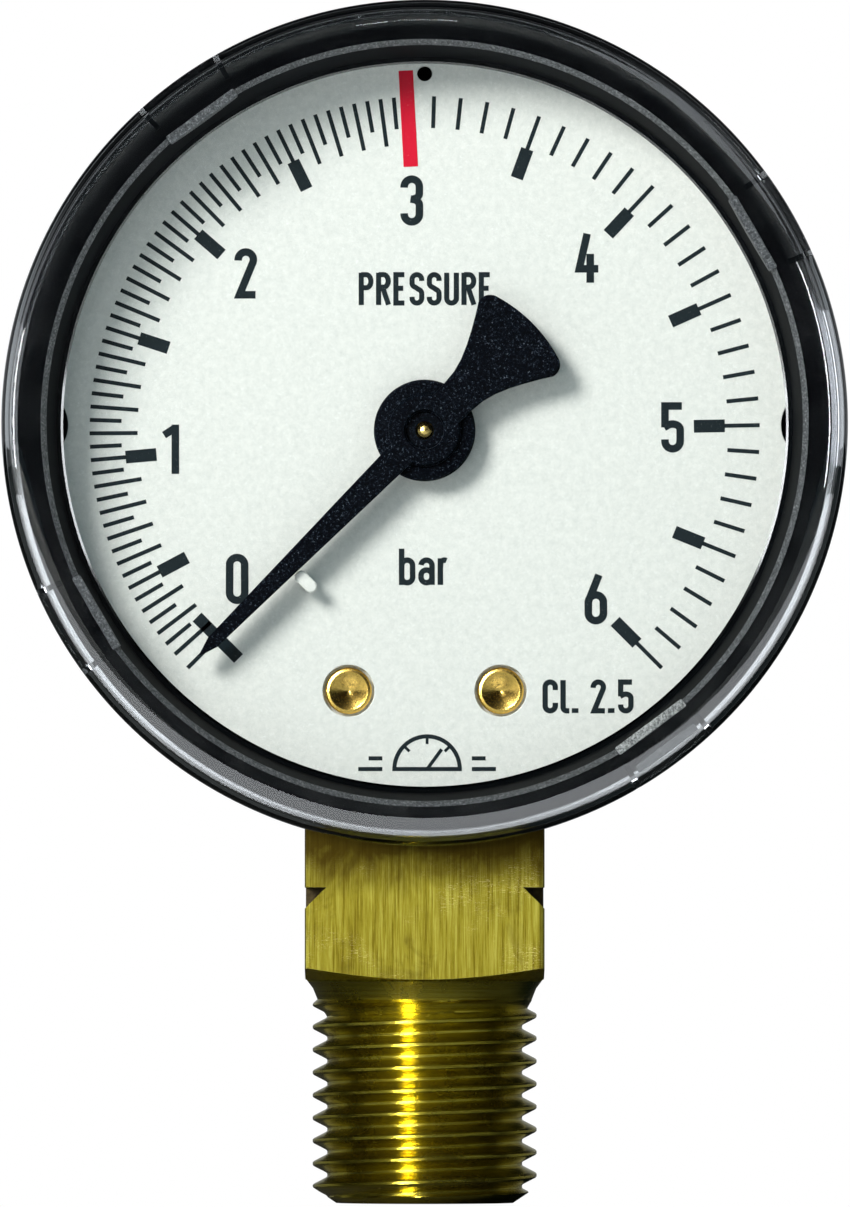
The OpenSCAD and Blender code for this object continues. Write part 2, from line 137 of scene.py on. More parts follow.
class Shape:
    """Vertices and faces that grow piece by piece."""

    def __init__(self):
        self.verts = []
        self.faces = []

    def add(self, verts, faces):
        base = len(self.verts)
        self.verts += [tuple(v) for v in verts]
        self.faces += [[base + i for i in f] for f in faces]
        return self

    def join(self, other):
        return self.add(other.verts, other.faces)


def skin(rows, looped=False, wrapped=True, capped=False):
    """Rows of points joined in order: looped joins the last row to the first, wrapped closes each
    row on itself, and capped closes the two ends."""
    wide, count = len(rows[0]), len(rows)
    faces = []
    for k in range(count if looped else count - 1):
        here, there = k * wide, (k + 1) % count * wide
        for i in range(wide if wrapped else wide - 1):
            j = (i + 1) % wide
            faces.append([here + i, here + j, there + j, there + i])
    if capped:
        faces += [list(range(wide)), list(range((count - 1) * wide, count * wide))]
    return Shape().add([v for row in rows for v in row], faces)


def stood(angle, profile, radius=0.0, centre=AXIS):
    """A profile of (outward, y) points, stood at a dial angle and a radius."""
    row = []
    for outward, y in profile:
        x, z = on_dial(radius + outward, angle, centre)
        row.append((x, y, z))
    return row


def revolve(profile, centre, steps=256, closed=False):
    """A profile of (radius, y) turned about the line along Y through centre."""
    rows = [stood(360 * k / steps, profile, centre=centre) for k in range(steps)]
    return skin(rows, looped=True, wrapped=closed)


def lathe(rings, columns):
    """Rings of (z, radius) about the stem's axis, joined in order."""
    turns = [TAU * c / columns for c in range(columns)]
    return skin([[(r * cos(a), r * sin(a), z) for a in turns] for z, r in rings])


def fillet(corner, before, after, radius, steps=6):
    """Points of a round corner between two straight edges, in 2D."""
    c = Vector(corner)
    u = (Vector(before) - c).normalized()
    v = (Vector(after) - c).normalized()
    half = acos(max(-1, min(1, u.dot(v)))) / 2
    middle = c + (u + v).normalized() * (radius / sin(half))
    start = c + u * (radius / tan(half)) - middle
    end = c + v * (radius / tan(half)) - middle
    turn = start.angle_signed(end)
    return [tuple(middle + Matrix.Rotation(-turn * k / steps, 2) @ start) for k in range(steps + 1)]


def rounded(points, radii, steps=6):
    """A closed 2D outline whose corners are rounded by the radii given, 0 for a sharp one."""
    out = []
    for i, p in enumerate(points):
        radius = radii[i] if isinstance(radii, (list, tuple)) else radii
        if radius:
            out += fillet(p, points[i - 1], points[(i + 1) % len(points)], radius, steps)
        else:
            out.append(tuple(p))
    return out


def circle_points(centre, radius, steps=64):
    return [on_dial(radius, 360 * k / steps, centre) for k in range(steps)]


def evaluated(holder):
    """The shape an object has after its modifiers. The object itself is removed."""
    bpy.context.view_layer.update()
    mesh = bpy.data.meshes.new_from_object(holder.evaluated_get(bpy.context.evaluated_depsgraph_get()))
    shape = Shape().add([v.co for v in mesh.vertices], [p.vertices for p in mesh.polygons])
    bpy.data.objects.remove(holder)
    bpy.data.meshes.remove(mesh)
    return shape


def plate(outlines, front, back, bevel=0.0):
    """Closed outlines of (x, z), holes included, made solid between two depths."""
    curve = bpy.data.curves.new("outline", "CURVE")
    curve.dimensions = "2D"
    curve.fill_mode = "BOTH"
    curve.extrude = (back - front) / 2 - bevel
    curve.bevel_depth = bevel
    curve.bevel_resolution = 2
    curve.offset = -bevel
    for outline in outlines:
        spline = curve.splines.new("POLY")
        spline.points.add(len(outline) - 1)
        for point, (x, z) in zip(spline.points, outline):
            point.co = (x, z, 0, 1)
        spline.use_cyclic_u = True
    shape = evaluated(put("outline", curve))
    bpy.data.curves.remove(curve)
    middle = (front + back) / 2
    shape.verts = [(x, middle - z, y) for x, y, z in shape.verts]
    return shape


def block(low, high):
    """A plain box, used as a cutter or as a part of a larger shape."""
    (x0, y0, z0), (x1, y1, z1) = low, high
    verts = [(x, y, z) for x in (x0, x1) for y in (y0, y1) for z in (z0, z1)]
    faces = [[0, 1, 3, 2], [4, 6, 7, 5], [0, 4, 5, 1], [2, 3, 7, 6], [0, 2, 6, 4], [1, 5, 7, 3]]
    return Shape().add(verts, faces)


def placed(shape, centre, angle):
    """A shape drawn about the origin, turned to a dial angle and moved to centre."""
    c, s = cos(radians(angle)), sin(radians(angle))
    verts = [(centre[0] + x * c + z * s, y, centre[1] - x * s + z * c) for x, y, z in shape.verts]
    return Shape().add(verts, shape.faces)


def mesh_of(shape, weld=1e-4):
    """A clean mesh of a shape: welded, with its normals outwards."""
    mesh = bpy.data.meshes.new("mesh")
    mesh.from_pydata(shape.verts, [], shape.faces)
    bm = bmesh.new()
    bm.from_mesh(mesh)
    bmesh.ops.remove_doubles(bm, verts=bm.verts, dist=weld)
    bmesh.ops.dissolve_degenerate(bm, edges=bm.edges, dist=weld)
    bmesh.ops.recalc_face_normals(bm, faces=bm.faces)
    bm.to_mesh(mesh)
    bm.free()
    return mesh


def cut(shape, cutters):
    """The shape with each cutter taken away."""
    holder = put("cut", mesh_of(shape))
    tools = []
    for cutter in cutters:
        tool = put("tool", mesh_of(cutter))
        change = holder.modifiers.new("cut", "BOOLEAN")
        change.operation = "DIFFERENCE"
        change.solver = "EXACT"
        change.object = tool
        tools.append(tool)
    out = evaluated(holder)
    for tool in tools:
        bpy.data.objects.remove(tool)
    return out


def piece(name, shape, material, replaces=None, body="gauge_body", sharp=30, weld=1e-4):
    """The shape as a piece of the object, in metres, that takes the place of a CAD node or adds to
    it, and rides on a CAD body. Edges sharper than the angle given stay sharp."""
    mesh = mesh_of(shape, weld)
    mesh.transform(Matrix.Scale(MM, 4))
    bm = bmesh.new()
    bm.from_mesh(mesh)
    limit = radians(sharp)
    for face in bm.faces:
        face.smooth = abs(face.normal.y) < 0.9999
    for edge in bm.edges:
        edge.smooth = len(edge.link_faces) == 2 and edge.calc_face_angle(0) < limit
    bm.to_mesh(mesh)
    bm.free()
    mesh.name = name
    obj = put(name, mesh)
    mesh.materials.append(material)
    if body:
        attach(obj, body)
    if replaces:
        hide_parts(replaces)
    return obj


def paint(obj, materials, pick):
    """More materials for a piece: pick(x, y, z, normal) gives the number of each face's own."""
    for material in materials:
        obj.data.materials.append(material)
    for face in obj.data.polygons:
        face.material_index = pick(*[v / MM for v in face.center], face.normal)


# ---- material helpers

class Nodes:
    """A short way to build the nodes of a material or a world, with places in millimetres."""

    def __init__(self, owner, end="OutputMaterial"):
        self.owner = owner
        owner.use_nodes = True
        self.tree = owner.node_tree
        self.tree.nodes.clear()
        self.out = self.new(end)
        self.coords = self.new("TexCoord").outputs["Object"]

    def new(self, kind, settings=None, **inputs):
        node = self.tree.nodes.new("ShaderNode" + kind)
        for key, value in (settings or {}).items():
            setattr(node, key, value)
        for key, value in inputs.items():
            self.feed(node.inputs[key.replace("_", " ")], value)
        return node

    def span(self, value, start, end, low, high, kind="LINEAR"):
        """A value carried from the range start to end over to the range low to high."""
        node = self.new("MapRange", {"interpolation_type": kind}, Value=value, From_Min=start,
                        From_Max=end, To_Min=low, To_Max=high)
        return node.outputs[0]

    def feed(self, socket, value):
        if isinstance(value, bpy.types.NodeSocket):
            self.tree.links.new(value, socket)
        else:
            socket.default_value = value

    def scaled(self, x, y, z):
        """Object coordinates, in units of 1/x, 1/y and 1/z millimetre."""
        mapping = self.new("Mapping", Vector=self.coords)
        mapping.inputs["Scale"].default_value = (x / MM, y / MM, z / MM)
        return mapping.outputs["Vector"]

    def noise(self, scale=(1, 1, 1), detail=3.0, roughness=0.5, distortion=0.0):
        node = self.new("TexNoise", Vector=self.scaled(*scale), Scale=1.0, Detail=detail,
                        Roughness=roughness, Distortion=distortion)
        return node.outputs["Fac"]

    def ramp(self, fac, *stops):
        """A ramp through (position, colour) stops. A plain number is a grey."""
        node = self.new("ValToRGB", Fac=fac)
        elements = node.color_ramp.elements
        while len(elements) < len(stops):
            elements.new(0.5)
        for element, (position, colour) in zip(elements, stops):
            element.position = position
            element.color = (colour,) * 3 + (1,) if isinstance(colour, (int, float)) else (*colour, 1)
        return node.outputs["Color"]

    def math(self, operation, a, b):
        node = self.new("Math", {"operation": operation})
        self.feed(node.inputs[0], a)
        self.feed(node.inputs[1], b)
        return node.outputs[0]

    def times(self, a, b):
        return self.math("MULTIPLY", a, b)

    def mix(self, fac, a, b):
        node = self.new("Mix", {"data_type": "RGBA"})
        self.feed(node.inputs[0], fac)
        self.feed(node.inputs[6], a if isinstance(a, bpy.types.NodeSocket) else (*a, 1))
        self.feed(node.inputs[7], b if isinstance(b, bpy.types.NodeSocket) else (*b, 1))
        return node.outputs[2]

    def bump(self, height, depth):
        node = self.new("Bump", Height=height, Strength=1.0, Distance=depth * MM)
        return node.outputs["Normal"]

    def axis(self, name):
        """One object coordinate, in millimetres."""
        node = self.new("SeparateXYZ", Vector=self.scaled(1, 1, 1))
        return node.outputs[name]

    def show(self, shader):
        self.tree.links.new(shader.outputs[0], self.out.inputs["Surface"])
        return self.owner

    def principled(self, **inputs):
        return self.show(self.new("BsdfPrincipled", **inputs))

    def metal(self, colour, rough, height, depth):
        return self.principled(Base_Color=colour, Metallic=1.0, Roughness=rough,
                               Normal=self.bump(height, depth))

    def choose(self, fac, first, second):
        """The first shader where fac is 0 and the second where it is 1."""
        node = self.new("MixShader", Fac=fac)
        self.feed(node.inputs[1], first.outputs[0])
        self.feed(node.inputs[2], second.outputs[0])
        return node


def material(name):
    return Nodes(bpy.data.materials.new(name))


SQUARE_FROM_Z = 13.0
OUTSIDE_FROM_Y = -10.5


def brass_stem():
    """Drawn brass: grain along the stem on the square, turning marks on the thread, tarnished blotches, and
    painted shade under the case.
    """
    n = material("stem_brass")
    z = n.axis("Z")
    on_square = n.math("GREATER_THAN", z, SQUARE_FROM_Z)
    grain = n.noise((5, 5, 0.16), detail=6, roughness=0.7)
    fine_grain = n.noise((16, 16, 0.3), detail=4, roughness=0.8)
    turning = n.noise((0.15, 0.15, 9), detail=4, roughness=0.75)
    drawn = n.span(n.mix(0.45, grain, fine_grain), 0.38, 0.62, 0.22, 0.80)
    marks = n.mix(on_square, turning, drawn)
    base = n.ramp(marks, (0.30, (0.33, 0.25, 0.020)), (0.5, (0.62, 0.54, 0.050)),
                  (0.72, (0.92, 0.86, 0.15)))
    # painted shade darkens the top of the square, where the case's shadow falls, and tarnished blotches
    # darken it anywhere
    cloud = n.noise((0.42, 0.42, 0.30), detail=5, roughness=0.62, distortion=0.6)
    painted_case_shadow = n.span(n.math("ADD", z, n.times(cloud, 5.0)), 20.4, 23.2, 0.0, 0.95)
    blotches = n.ramp(cloud, (0.56, 0.0), (0.68, 0.75))
    tarnish_and_shade = n.math("MAXIMUM", n.times(blotches, 0.6), painted_case_shadow)
    # the thread is made a little browner and the square darker throughout
    base = n.mix(on_square, n.mix(0.22, base, (0.19, 0.105, 0.03)),
                 n.mix(0.66, base, (0.03, 0.025, 0.004)))
    scratches = n.ramp(n.noise((0.9, 1.1, 5.5), detail=2, roughness=0.4, distortion=2.2),
                       (0.488, 0.0), (0.5, 1.0), (0.512, 0.0))
    sparse = n.ramp(n.noise((0.35, 0.35, 0.35), detail=2), (0.50, 0.0), (0.60, 0.7))
    base = n.mix(n.times(scratches, sparse), base, (0.80, 0.72, 0.30))
    colour = n.mix(tarnish_and_shade, base, (0.07, 0.045, 0.006))
    rough = n.span(marks, 0.3, 0.7, 0.27, 0.19)
    rough = n.math("ADD", rough, n.times(tarnish_and_shade, 0.22))
    rough = n.math("ADD", rough, n.times(on_square, 0.22))
    normal = n.bump(marks, 0.012)
    # the grain spreads light across itself: sideways on the square, up and down on the thread
    around = n.new("Tangent", {"direction_type": "RADIAL", "axis": "Z"})
    quarter = n.times(n.math("SUBTRACT", 1.0, on_square), 0.25)
    return n.principled(Base_Color=colour, Metallic=1.0, Roughness=rough, Normal=normal,
                        Anisotropic=0.75, Anisotropic_Rotation=quarter, Tangent=around.outputs[0])


def turned_brass(name, tint, rough):
    """Brass cut on a lathe, with faint marks that read as fine noise."""
    n = material(name)
    marks = n.noise((9, 9, 9), detail=4, roughness=0.7)
    colour = n.ramp(marks, (0.3, tuple(v * 0.62 for v in tint)), (0.68, tint))
    return n.metal(colour, n.span(marks, 0.3, 0.7, rough + 0.1, rough), marks, 0.006)


def stamped_brass():
    """Rolled sheet brass of the movement, brushed one way."""
    n = material("movement_brass")
    brushed = n.noise((0.5, 3, 9), detail=5, roughness=0.7)
    colour = n.ramp(brushed, (0.3, (0.48, 0.36, 0.12)), (0.7, (0.80, 0.66, 0.32)))
    return n.metal(colour, 0.34, brushed, 0.008)


def steel(name, tint=(0.56, 0.57, 0.58), rough=0.28):
    """Bright steel with fine marks of working."""
    n = material(name)
    marks = n.noise((7, 14, 7), detail=4, roughness=0.65)
    colour = n.ramp(marks, (0.3, tuple(v * 0.7 for v in tint)), (0.7, tint))
    return n.metal(colour, n.span(marks, 0.3, 0.7, rough + 0.12, rough), marks, 0.005)


def tube_bronze():
    """Drawn bronze tube, a little darker where the solder's heat reached it."""
    n = material("tube_bronze")
    drawn = n.noise((2, 9, 2), detail=4, roughness=0.6)
    patches = n.ramp(n.noise((0.25, 0.25, 0.25), detail=3), (0.4, 0.0), (0.7, 0.6))
    colour = n.mix(patches, n.ramp(drawn, (0.3, (0.46, 0.28, 0.12)), (0.7, (0.72, 0.48, 0.24))),
                   (0.30, 0.17, 0.09))
    return n.metal(colour, 0.33, drawn, 0.006)


def case_plastic():
    """Black moulded plastic, glossy at the rim and matt outside, with a few specks of dust."""
    n = material("case_plastic")
    flow = n.noise((0.35, 0.35, 0.35), detail=4, roughness=0.6)
    dust = n.ramp(n.noise((4, 4, 4), detail=5, roughness=0.75), (0.66, 0.0), (0.80, 1.0))
    colour = n.mix(n.times(dust, 0.3), (0.0018, 0.002, 0.0026), (0.045, 0.048, 0.05))
    rough = n.math("ADD", n.span(flow, 0.3, 0.7, 0.10, 0.2), n.times(dust, 0.25))
    outside = n.math("GREATER_THAN", n.axis("Y"), OUTSIDE_FROM_Y)
    rough = n.math("ADD", rough, n.times(outside, 0.25))
    return n.principled(Base_Color=colour, Roughness=rough, IOR=1.52, Normal=n.bump(flow, 0.01))


def rough_plastic(name, dark, middle, bright):
    """The case's plastic where it is scuffed grey: a parting edge or a snap pad. A brighter copy is painted
    light on the pad where the light falls.
    """
    n = material(name)
    specks = n.noise((7, 7, 7), detail=5, roughness=0.85)
    colour = n.ramp(specks, (0.42, dark), (0.56, middle), (0.70, bright))
    return n.principled(Base_Color=colour, Roughness=0.5, Specular_IOR_Level=0.3,
                        Normal=n.bump(specks, 0.05))


def polished_edge():
    """Narrow polished edges of the case, which catch the light from the sides."""
    n = material("case_edge")
    flow = n.noise((0.6, 0.6, 0.6), detail=3)
    return n.principled(Base_Color=(0.006, 0.007, 0.008, 1), Specular_IOR_Level=1.0, IOR=1.9,
                        Roughness=n.span(flow, 0.3, 0.7, 0.10, 0.18))


def matt_black():
    """Unlit depths: the wall inside the case and, as painted shade, the gaps beside the snap tongues."""
    n = material("case_wall")
    return n.principled(Base_Color=(0.0015, 0.002, 0.0025, 1), Roughness=0.7, Specular_IOR_Level=0.04)


def groove_shade_brass():
    """Brass in the depth of the spanner grooves, darkened brown as painted shade."""
    n = material("groove_brass")
    shade_mottle = n.noise((2, 2, 2), detail=4, roughness=0.6)
    colour = n.ramp(shade_mottle, (0.3, (0.035, 0.022, 0.008)), (0.7, (0.10, 0.07, 0.02)))
    return n.principled(Base_Color=colour, Metallic=0.6, Roughness=0.6)


def window_clear():
    """Clear plastic. Light passes to the dial, and the skirt bends what lies behind it."""
    n = material("window_clear")
    glass = n.new("BsdfGlass", Roughness=0.02, IOR=1.49, Color=(0.955, 0.965, 0.97, 1))
    clear = n.new("BsdfTransparent", Color=(0.93, 0.945, 0.955, 1))
    path = n.new("LightPath")
    pass_on = n.math("MAXIMUM", path.outputs["Is Shadow Ray"], path.outputs["Is Diffuse Ray"])
    return n.show(n.choose(pass_on, glass, clear))


def window_pane():
    """The flat pane, which lets the dial through unbent and adds a faint reflection."""
    n = material("window_pane")
    clear = n.new("BsdfTransparent", Color=(0.985, 0.99, 0.99, 1))
    gloss = n.new("BsdfGlossy", Roughness=0.03, Color=(0.5, 0.5, 0.5, 1))
    fresnel = n.new("Fresnel", IOR=1.3)
    path = n.new("LightPath")
    seen = n.times(fresnel.outputs[0], path.outputs["Is Camera Ray"])
    front = n.math("SUBTRACT", 1.0, n.new("NewGeometry").outputs["Backfacing"])
    return n.show(n.choose(n.times(seen, front), clear, gloss))


def dial_white():
    """Satin white plastic with the fine bright and dark specks of its moulding."""
    n = material("dial_white")
    mottle = n.noise((2.2, 2.2, 2.2), detail=5, roughness=0.75)
    specks = n.noise((6, 6, 6), detail=3, roughness=0.85)
    base = n.ramp(mottle, (0.3, (0.74, 0.765, 0.745)), (0.7, (0.88, 0.895, 0.87)))
    bright = n.ramp(specks, (0.58, 0.0), (0.70, 0.9))
    dark = n.ramp(specks, (0.28, 0.35), (0.40, 0.0))
    colour = n.mix(bright, base, (0.96, 0.98, 0.97))
    colour = n.mix(dark, colour, (0.5, 0.52, 0.5))
    return n.principled(Base_Color=colour, Roughness=0.5, Specular_IOR_Level=0.25,
                        Normal=n.bump(n.math("ADD", specks, mottle), 0.008))


def print_ink(name, tint, worn):
    """Pad-printed ink, with pinholes where the dial's grain shows through."""
    n = material(name)
    grain = n.noise((8, 8, 8), detail=5, roughness=0.75)
    colour = n.ramp(grain, (0.35, tint), (0.62, tint), (0.74, worn))
    return n.principled(Base_Color=colour, Roughness=0.6, Specular_IOR_Level=0.05,
                        Normal=n.bump(grain, 0.006))


def pointer_black():
    """Black with a fine sparkling grain."""
    n = material("pointer_black")
    grain = n.noise((7, 7, 7), detail=6, roughness=0.8)
    colour = n.ramp(grain, (0.44, (0.0008, 0.0014, 0.003)), (0.56, (0.003, 0.005, 0.009)),
                    (0.62, (0.03, 0.04, 0.06)), (0.72, (0.30, 0.34, 0.40)))
    return n.principled(Base_Color=colour, Roughness=0.5, Specular_IOR_Level=0.02,
                        Normal=n.bump(grain, 0.04))


def floor_white():
    """Pale studio floor: plain white to the camera, and dark behind where the brass mirrors it."""
    n = material("floor_white")
    paper = n.ramp(n.noise((0.01, 0.01, 0.01), detail=3), (0.3, 0.78), (0.7, 0.84))
    behind = n.span(n.axis("Y"), -60.0, -10.0, 0.0, 0.95)
    lit = n.new("BsdfDiffuse", Color=n.mix(behind, paper, (0.02, 0.02, 0.02)))
    blank = n.new("Emission", Color=(1, 1, 1, 1), Strength=1.0)
    return n.show(n.choose(n.new("LightPath").outputs["Is Camera Ray"], lit, blank))


# ---- stem

THREAD_PITCH = 1.337
THREAD_R = 6.5785
ROOT_R = 5.7225
NECK_LOW_R, NECK_TOP_R = 6.3, 6.56
CREST = 0.085
THREAD_TOP = 11.95
NECK_TOP = 12.6
SHOULDER_Z = 13.1
BEVEL_Z = 13.8
SHOULDER_R = 6.94
CHAMFER_R = 5.2
CHAMFER_RISE = 1.5
RUN_OUT_FROM, NECK_FROM = 10.9, 11.7
PORT_R = 2.6
PORT_DEPTH = 9.0
DUCT_R = 1.1
NOTCH_TOP_Z = 18.5
NOTCH_DEPTH = 1.25
NOTCH_END_Y = 3
BLOCK_TOP_Z = STEM_HIGH[2] - 10.5
TONGUE_HALF, TONGUE_FRONT_Y, TONGUE_BACK_Y = 6, -4.5, -1.9
RIVET_HOLE_R = 1.0
RIVETS = [(side * 4.42, AXIS[1] - 15.1) for side in (-1, 1)]


def thread_radius(phase):
    """Radius of the thread at a phase of 0 to 1 along one pitch, the crest in the middle."""
    from_crest = abs(phase - 0.5)
    flank = max(0.0, min(1.0, (from_crest - CREST) / (0.5 - 2 * CREST)))
    return THREAD_R - (THREAD_R - ROOT_R) * flank


def limits_on_thread(z):
    """Least and greatest radius at height z: the chamfer below and the run-out above."""
    floor = ROOT_R + (NECK_LOW_R - ROOT_R) * max(0.0, min(1.0, z - RUN_OUT_FROM))
    into_neck = max(0.0, min(1.0, (z - NECK_FROM) / 0.25))
    ceiling = min(CHAMFER_R + CHAMFER_RISE * z, THREAD_R - (THREAD_R - NECK_LOW_R) * into_neck)
    return floor, ceiling


def square_radius(angle, corner=0.3):
    """Distance from the stem's axis to the rounded square's side, in the direction of angle."""
    a = (angle + pi / 4) % (pi / 2) - pi / 4
    side = SQUARE_HALF / cos(a)
    if SQUARE_HALF * abs(tan(a)) <= SQUARE_HALF - corner:
        return side
    middle = SQUARE_HALF - corner
    across = middle * (cos(a) + abs(sin(a)))
    off = middle * abs(cos(a) - abs(sin(a)))
    return across + sqrt(max(0.0, corner * corner - off * off))


def thread_column(share, rows=18):
    """Points up the thread at a share of a turn, the thread rising by one pitch in a turn."""
    angle = TAU * share
    column = []
    for i in range(rows * (ceil(THREAD_TOP / THREAD_PITCH) + 2)):
        z = max(0.0, min(THREAD_TOP, THREAD_PITCH * (i / rows - 1.5 + share) + 0.3))
        low, high = limits_on_thread(z)
        r = min(max(thread_radius(i % rows / rows), low), high)
        column.append((r * cos(angle), r * sin(angle), z))
    return column


def threaded_shank(columns=240):
    """The thread as a true right-hand helix, with the port bored in its lower end."""
    shape = skin([thread_column(c / columns) for c in range(columns + 1)], wrapped=False)
    neck = [(THREAD_TOP, NECK_LOW_R), (NECK_TOP, NECK_TOP_R), (SHOULDER_Z, SHOULDER_R),
            (SHOULDER_Z + 0.05, 0)]
    bore = [(0, CHAMFER_R), (0, PORT_R + 0.35), (0.35, PORT_R), (PORT_DEPTH, PORT_R),
            (PORT_DEPTH + 0.9, DUCT_R), (PORT_DEPTH + 3, DUCT_R), (PORT_DEPTH + 3, 0)]
    return shape.join(lathe(neck, columns)).join(lathe(bore, columns))


def square_block(columns=288):
    """The spanner square, turned to a cone below, with a groove in each side face."""
    rise = (BEVEL_Z - SHOULDER_Z) / (SQUARE_HALF * 1.414 - SHOULDER_R)
    top = BLOCK_TOP_Z
    edge = 0.12
    sides = []
    for c in range(columns):
        a = TAU * c / columns
        half = square_radius(a)
        low = SHOULDER_Z + rise * (half - SHOULDER_R)
        profile = [(0.0, SHOULDER_Z - 0.2), (SHOULDER_R - 0.3, SHOULDER_Z - 0.2), (SHOULDER_R, SHOULDER_Z),
                   (half, low), (half, top - edge), (half - edge, top), (0.0, top)]
        sides.append([(r * cos(a), r * sin(a), z) for r, z in profile])
    cutters = []
    for side in (-1, 1):
        inner, past = side * (SQUARE_HALF - NOTCH_DEPTH), side * (SQUARE_HALF + 1)
        notch = [(inner, NOTCH_TOP_Z), (past, NOTCH_TOP_Z), (past, NOTCH_TOP_Z - NOTCH_DEPTH - 1)]
        cutters.append(plate([notch], -SQUARE_HALF - 1, NOTCH_END_Y))
    cutters += [plate([circle_points(c, RIVET_HOLE_R, 32)], -SQUARE_HALF - 1, -3.2) for c in RIVETS]
    return cut(skin(sides, looped=True, wrapped=False), cutters)


def make_stem(material, groove):
    shape = threaded_shank().join(square_block())
    shape.join(block((-TONGUE_HALF, TONGUE_FRONT_Y, BLOCK_TOP_Z - 0.5),
                     (TONGUE_HALF, TONGUE_BACK_Y, STEM_HIGH[2])))
    stem = piece("stem_body", shape, material, "stem", sharp=38, weld=2e-4)

    deep, low = SQUARE_HALF - NOTCH_DEPTH, NOTCH_TOP_Z - NOTCH_DEPTH

    # faces deep in the spanner grooves take the dark brass: painted shade
    def pick(x, y, z, normal):
        if not (deep - 0.05 < abs(x) < SQUARE_HALF - 0.02 and low - 0.05 < z < NOTCH_TOP_Z + 0.01
                and y < NOTCH_END_Y + 0.05):
            return 0
        end = normal.y < -0.9 and y < 0 or abs(normal.y) > 0.9 and y > -SQUARE_HALF + 0.1
        return 1 if end or abs(normal.z) > 0.5 else 0

    paint(stem, [groove], pick)


# ---- case and window

LUG_ANGLES = (143.4, 60, -36, -120)
LUG_HALF = 6.2
EDGE_ROUND = 1.6
RIM_R = WINDOW_R - 0.9
RIM_IN = 21.9
LIP_W = 0.3
RIM_CHAMFER = 0.26
CUP_R = 21.35
BEAD_R = DIAL_R - 0.13
COLLAR_R = WINDOW_R - 0.2
BODY_BACK_R = WINDOW_R - 1.3
SCREW_X, SCREW_HOLE_R = 4.2, 2.1
SNAP_FRONT_Y, SNAP_BACK_Y = -12.6, -11.7
FLOOR_Y = BACK_Y - 1.8
SKIRT_IN = WINDOW_R - 0.8
PANE_BACK_Y = WINDOW_Y + 1.4
SLIT_Y = PANE_BACK_Y + 0.3


def pad_outline(half_width, inner, outer, corner):
    return rounded([(-half_width, inner), (half_width, inner), (half_width, outer),
                    (-half_width, outer)], corner, 3)


def bar_at(angle, half, front, back, inner, outer):
    """A radial bar between two depths and two radii, at a dial angle."""
    return placed(block((-half, front, inner), (half, back, outer)), CENTRE, angle)


def make_case(plastic, lip, lit_pad_plastic, wall, edge):
    outer = [
        (RIM_IN + LIP_W, RIM_Y), (RIM_R - RIM_CHAMFER, RIM_Y), (RIM_R, RIM_Y + RIM_CHAMFER),
        (RIM_R, SKIRT_END_Y + 0.2), (COLLAR_R, SKIRT_END_Y + 0.2), (COLLAR_R, SKIRT_END_Y + 2.2),
        (RIM_R, SKIRT_END_Y + 2.7), (BODY_BACK_R, BACK_Y), (0, BACK_Y), (0, FLOOR_Y),
        (CUP_R - 0.3, FLOOR_Y), (CUP_R, DIAL_Y), (BEAD_R + 0.01, DIAL_Y - 0.05),
        (BEAD_R + 0.14, DIAL_Y - 0.12), (CUP_R + 0.05, DIAL_Y - 0.2), (RIM_IN, RIM_Y + 0.35)]
    radii = [0.06, 0, 0, 0, 0.25, 0.3, 0.2, 1.6, 0, 0, 0.8, 0, 0.02, 0.02, 0, 0.05]
    shell = revolve(rounded(outer, radii), CENTRE, closed=True)
    gap = SQUARE_HALF + 0.03
    cutters = [block((-gap, -gap, CENTRE[1] - WINDOW_R - 1), (gap, gap, CENTRE[1] - 17))]
    screw_z = middle_mm("case_screws")[1]
    for side in (-1, 1):
        hole = circle_points((side * SCREW_X, screw_z), SCREW_HOLE_R, 48)
        cutters.append(plate([hole], BACK_Y - 1.6, BACK_Y + 1))
    case = piece("case_shell", cut(shell, cutters), plastic, "case")

    def pick(x, y, z, normal):
        r = reach(x, z, CENTRE)
        if y > DIAL_Y:
            return 0
        if y < RIM_Y + 0.4 and RIM_IN - 0.02 < r < RIM_IN + LIP_W + 0.03:
            return 1
        if y < RIM_Y + RIM_CHAMFER and r > RIM_R - RIM_CHAMFER:
            return 3
        return 2 if r < RIM_IN else 0

    paint(case, [lip, wall, edge], pick)
    bead = [(BEAD_R, DIAL_Y - 0.05), (BEAD_R, DIAL_Y - 0.065), (BEAD_R + 0.13, DIAL_Y - 0.14),
            (BEAD_R + 0.13, DIAL_Y - 0.05)]
    piece("case_bead", revolve(bead, CENTRE, closed=True), edge)
    pads = Shape()
    for angle in LUG_ANGLES:
        outline = pad_outline(2.4, RIM_IN - 0.22, RIM_IN + 0.3, 0.1)
        pad = placed(plate([outline], RIM_Y - 0.1, RIM_Y + 4, 0.05), CENTRE, angle)
        # the pad at the first lug takes the brighter plastic: painted light where the light falls on it
        if angle == LUG_ANGLES[0]:
            piece("case_worn_pad", pad, lit_pad_plastic)
        else:
            pads.join(pad)
    # a grey patch on the rim's outer edge, at the first lug only: painted reflection of the lit pad in the
    # window's rounded edge
    outline = pad_outline(2.1, RIM_R - 0.5, RIM_R - 0.16, 0.08)
    pad_reflection = placed(plate([outline], RIM_Y - 0.08, RIM_Y + 0.3, 0.04), CENTRE, LUG_ANGLES[0])
    piece("case_pads", pads, lip)
    piece("case_scuff", pad_reflection, lip)


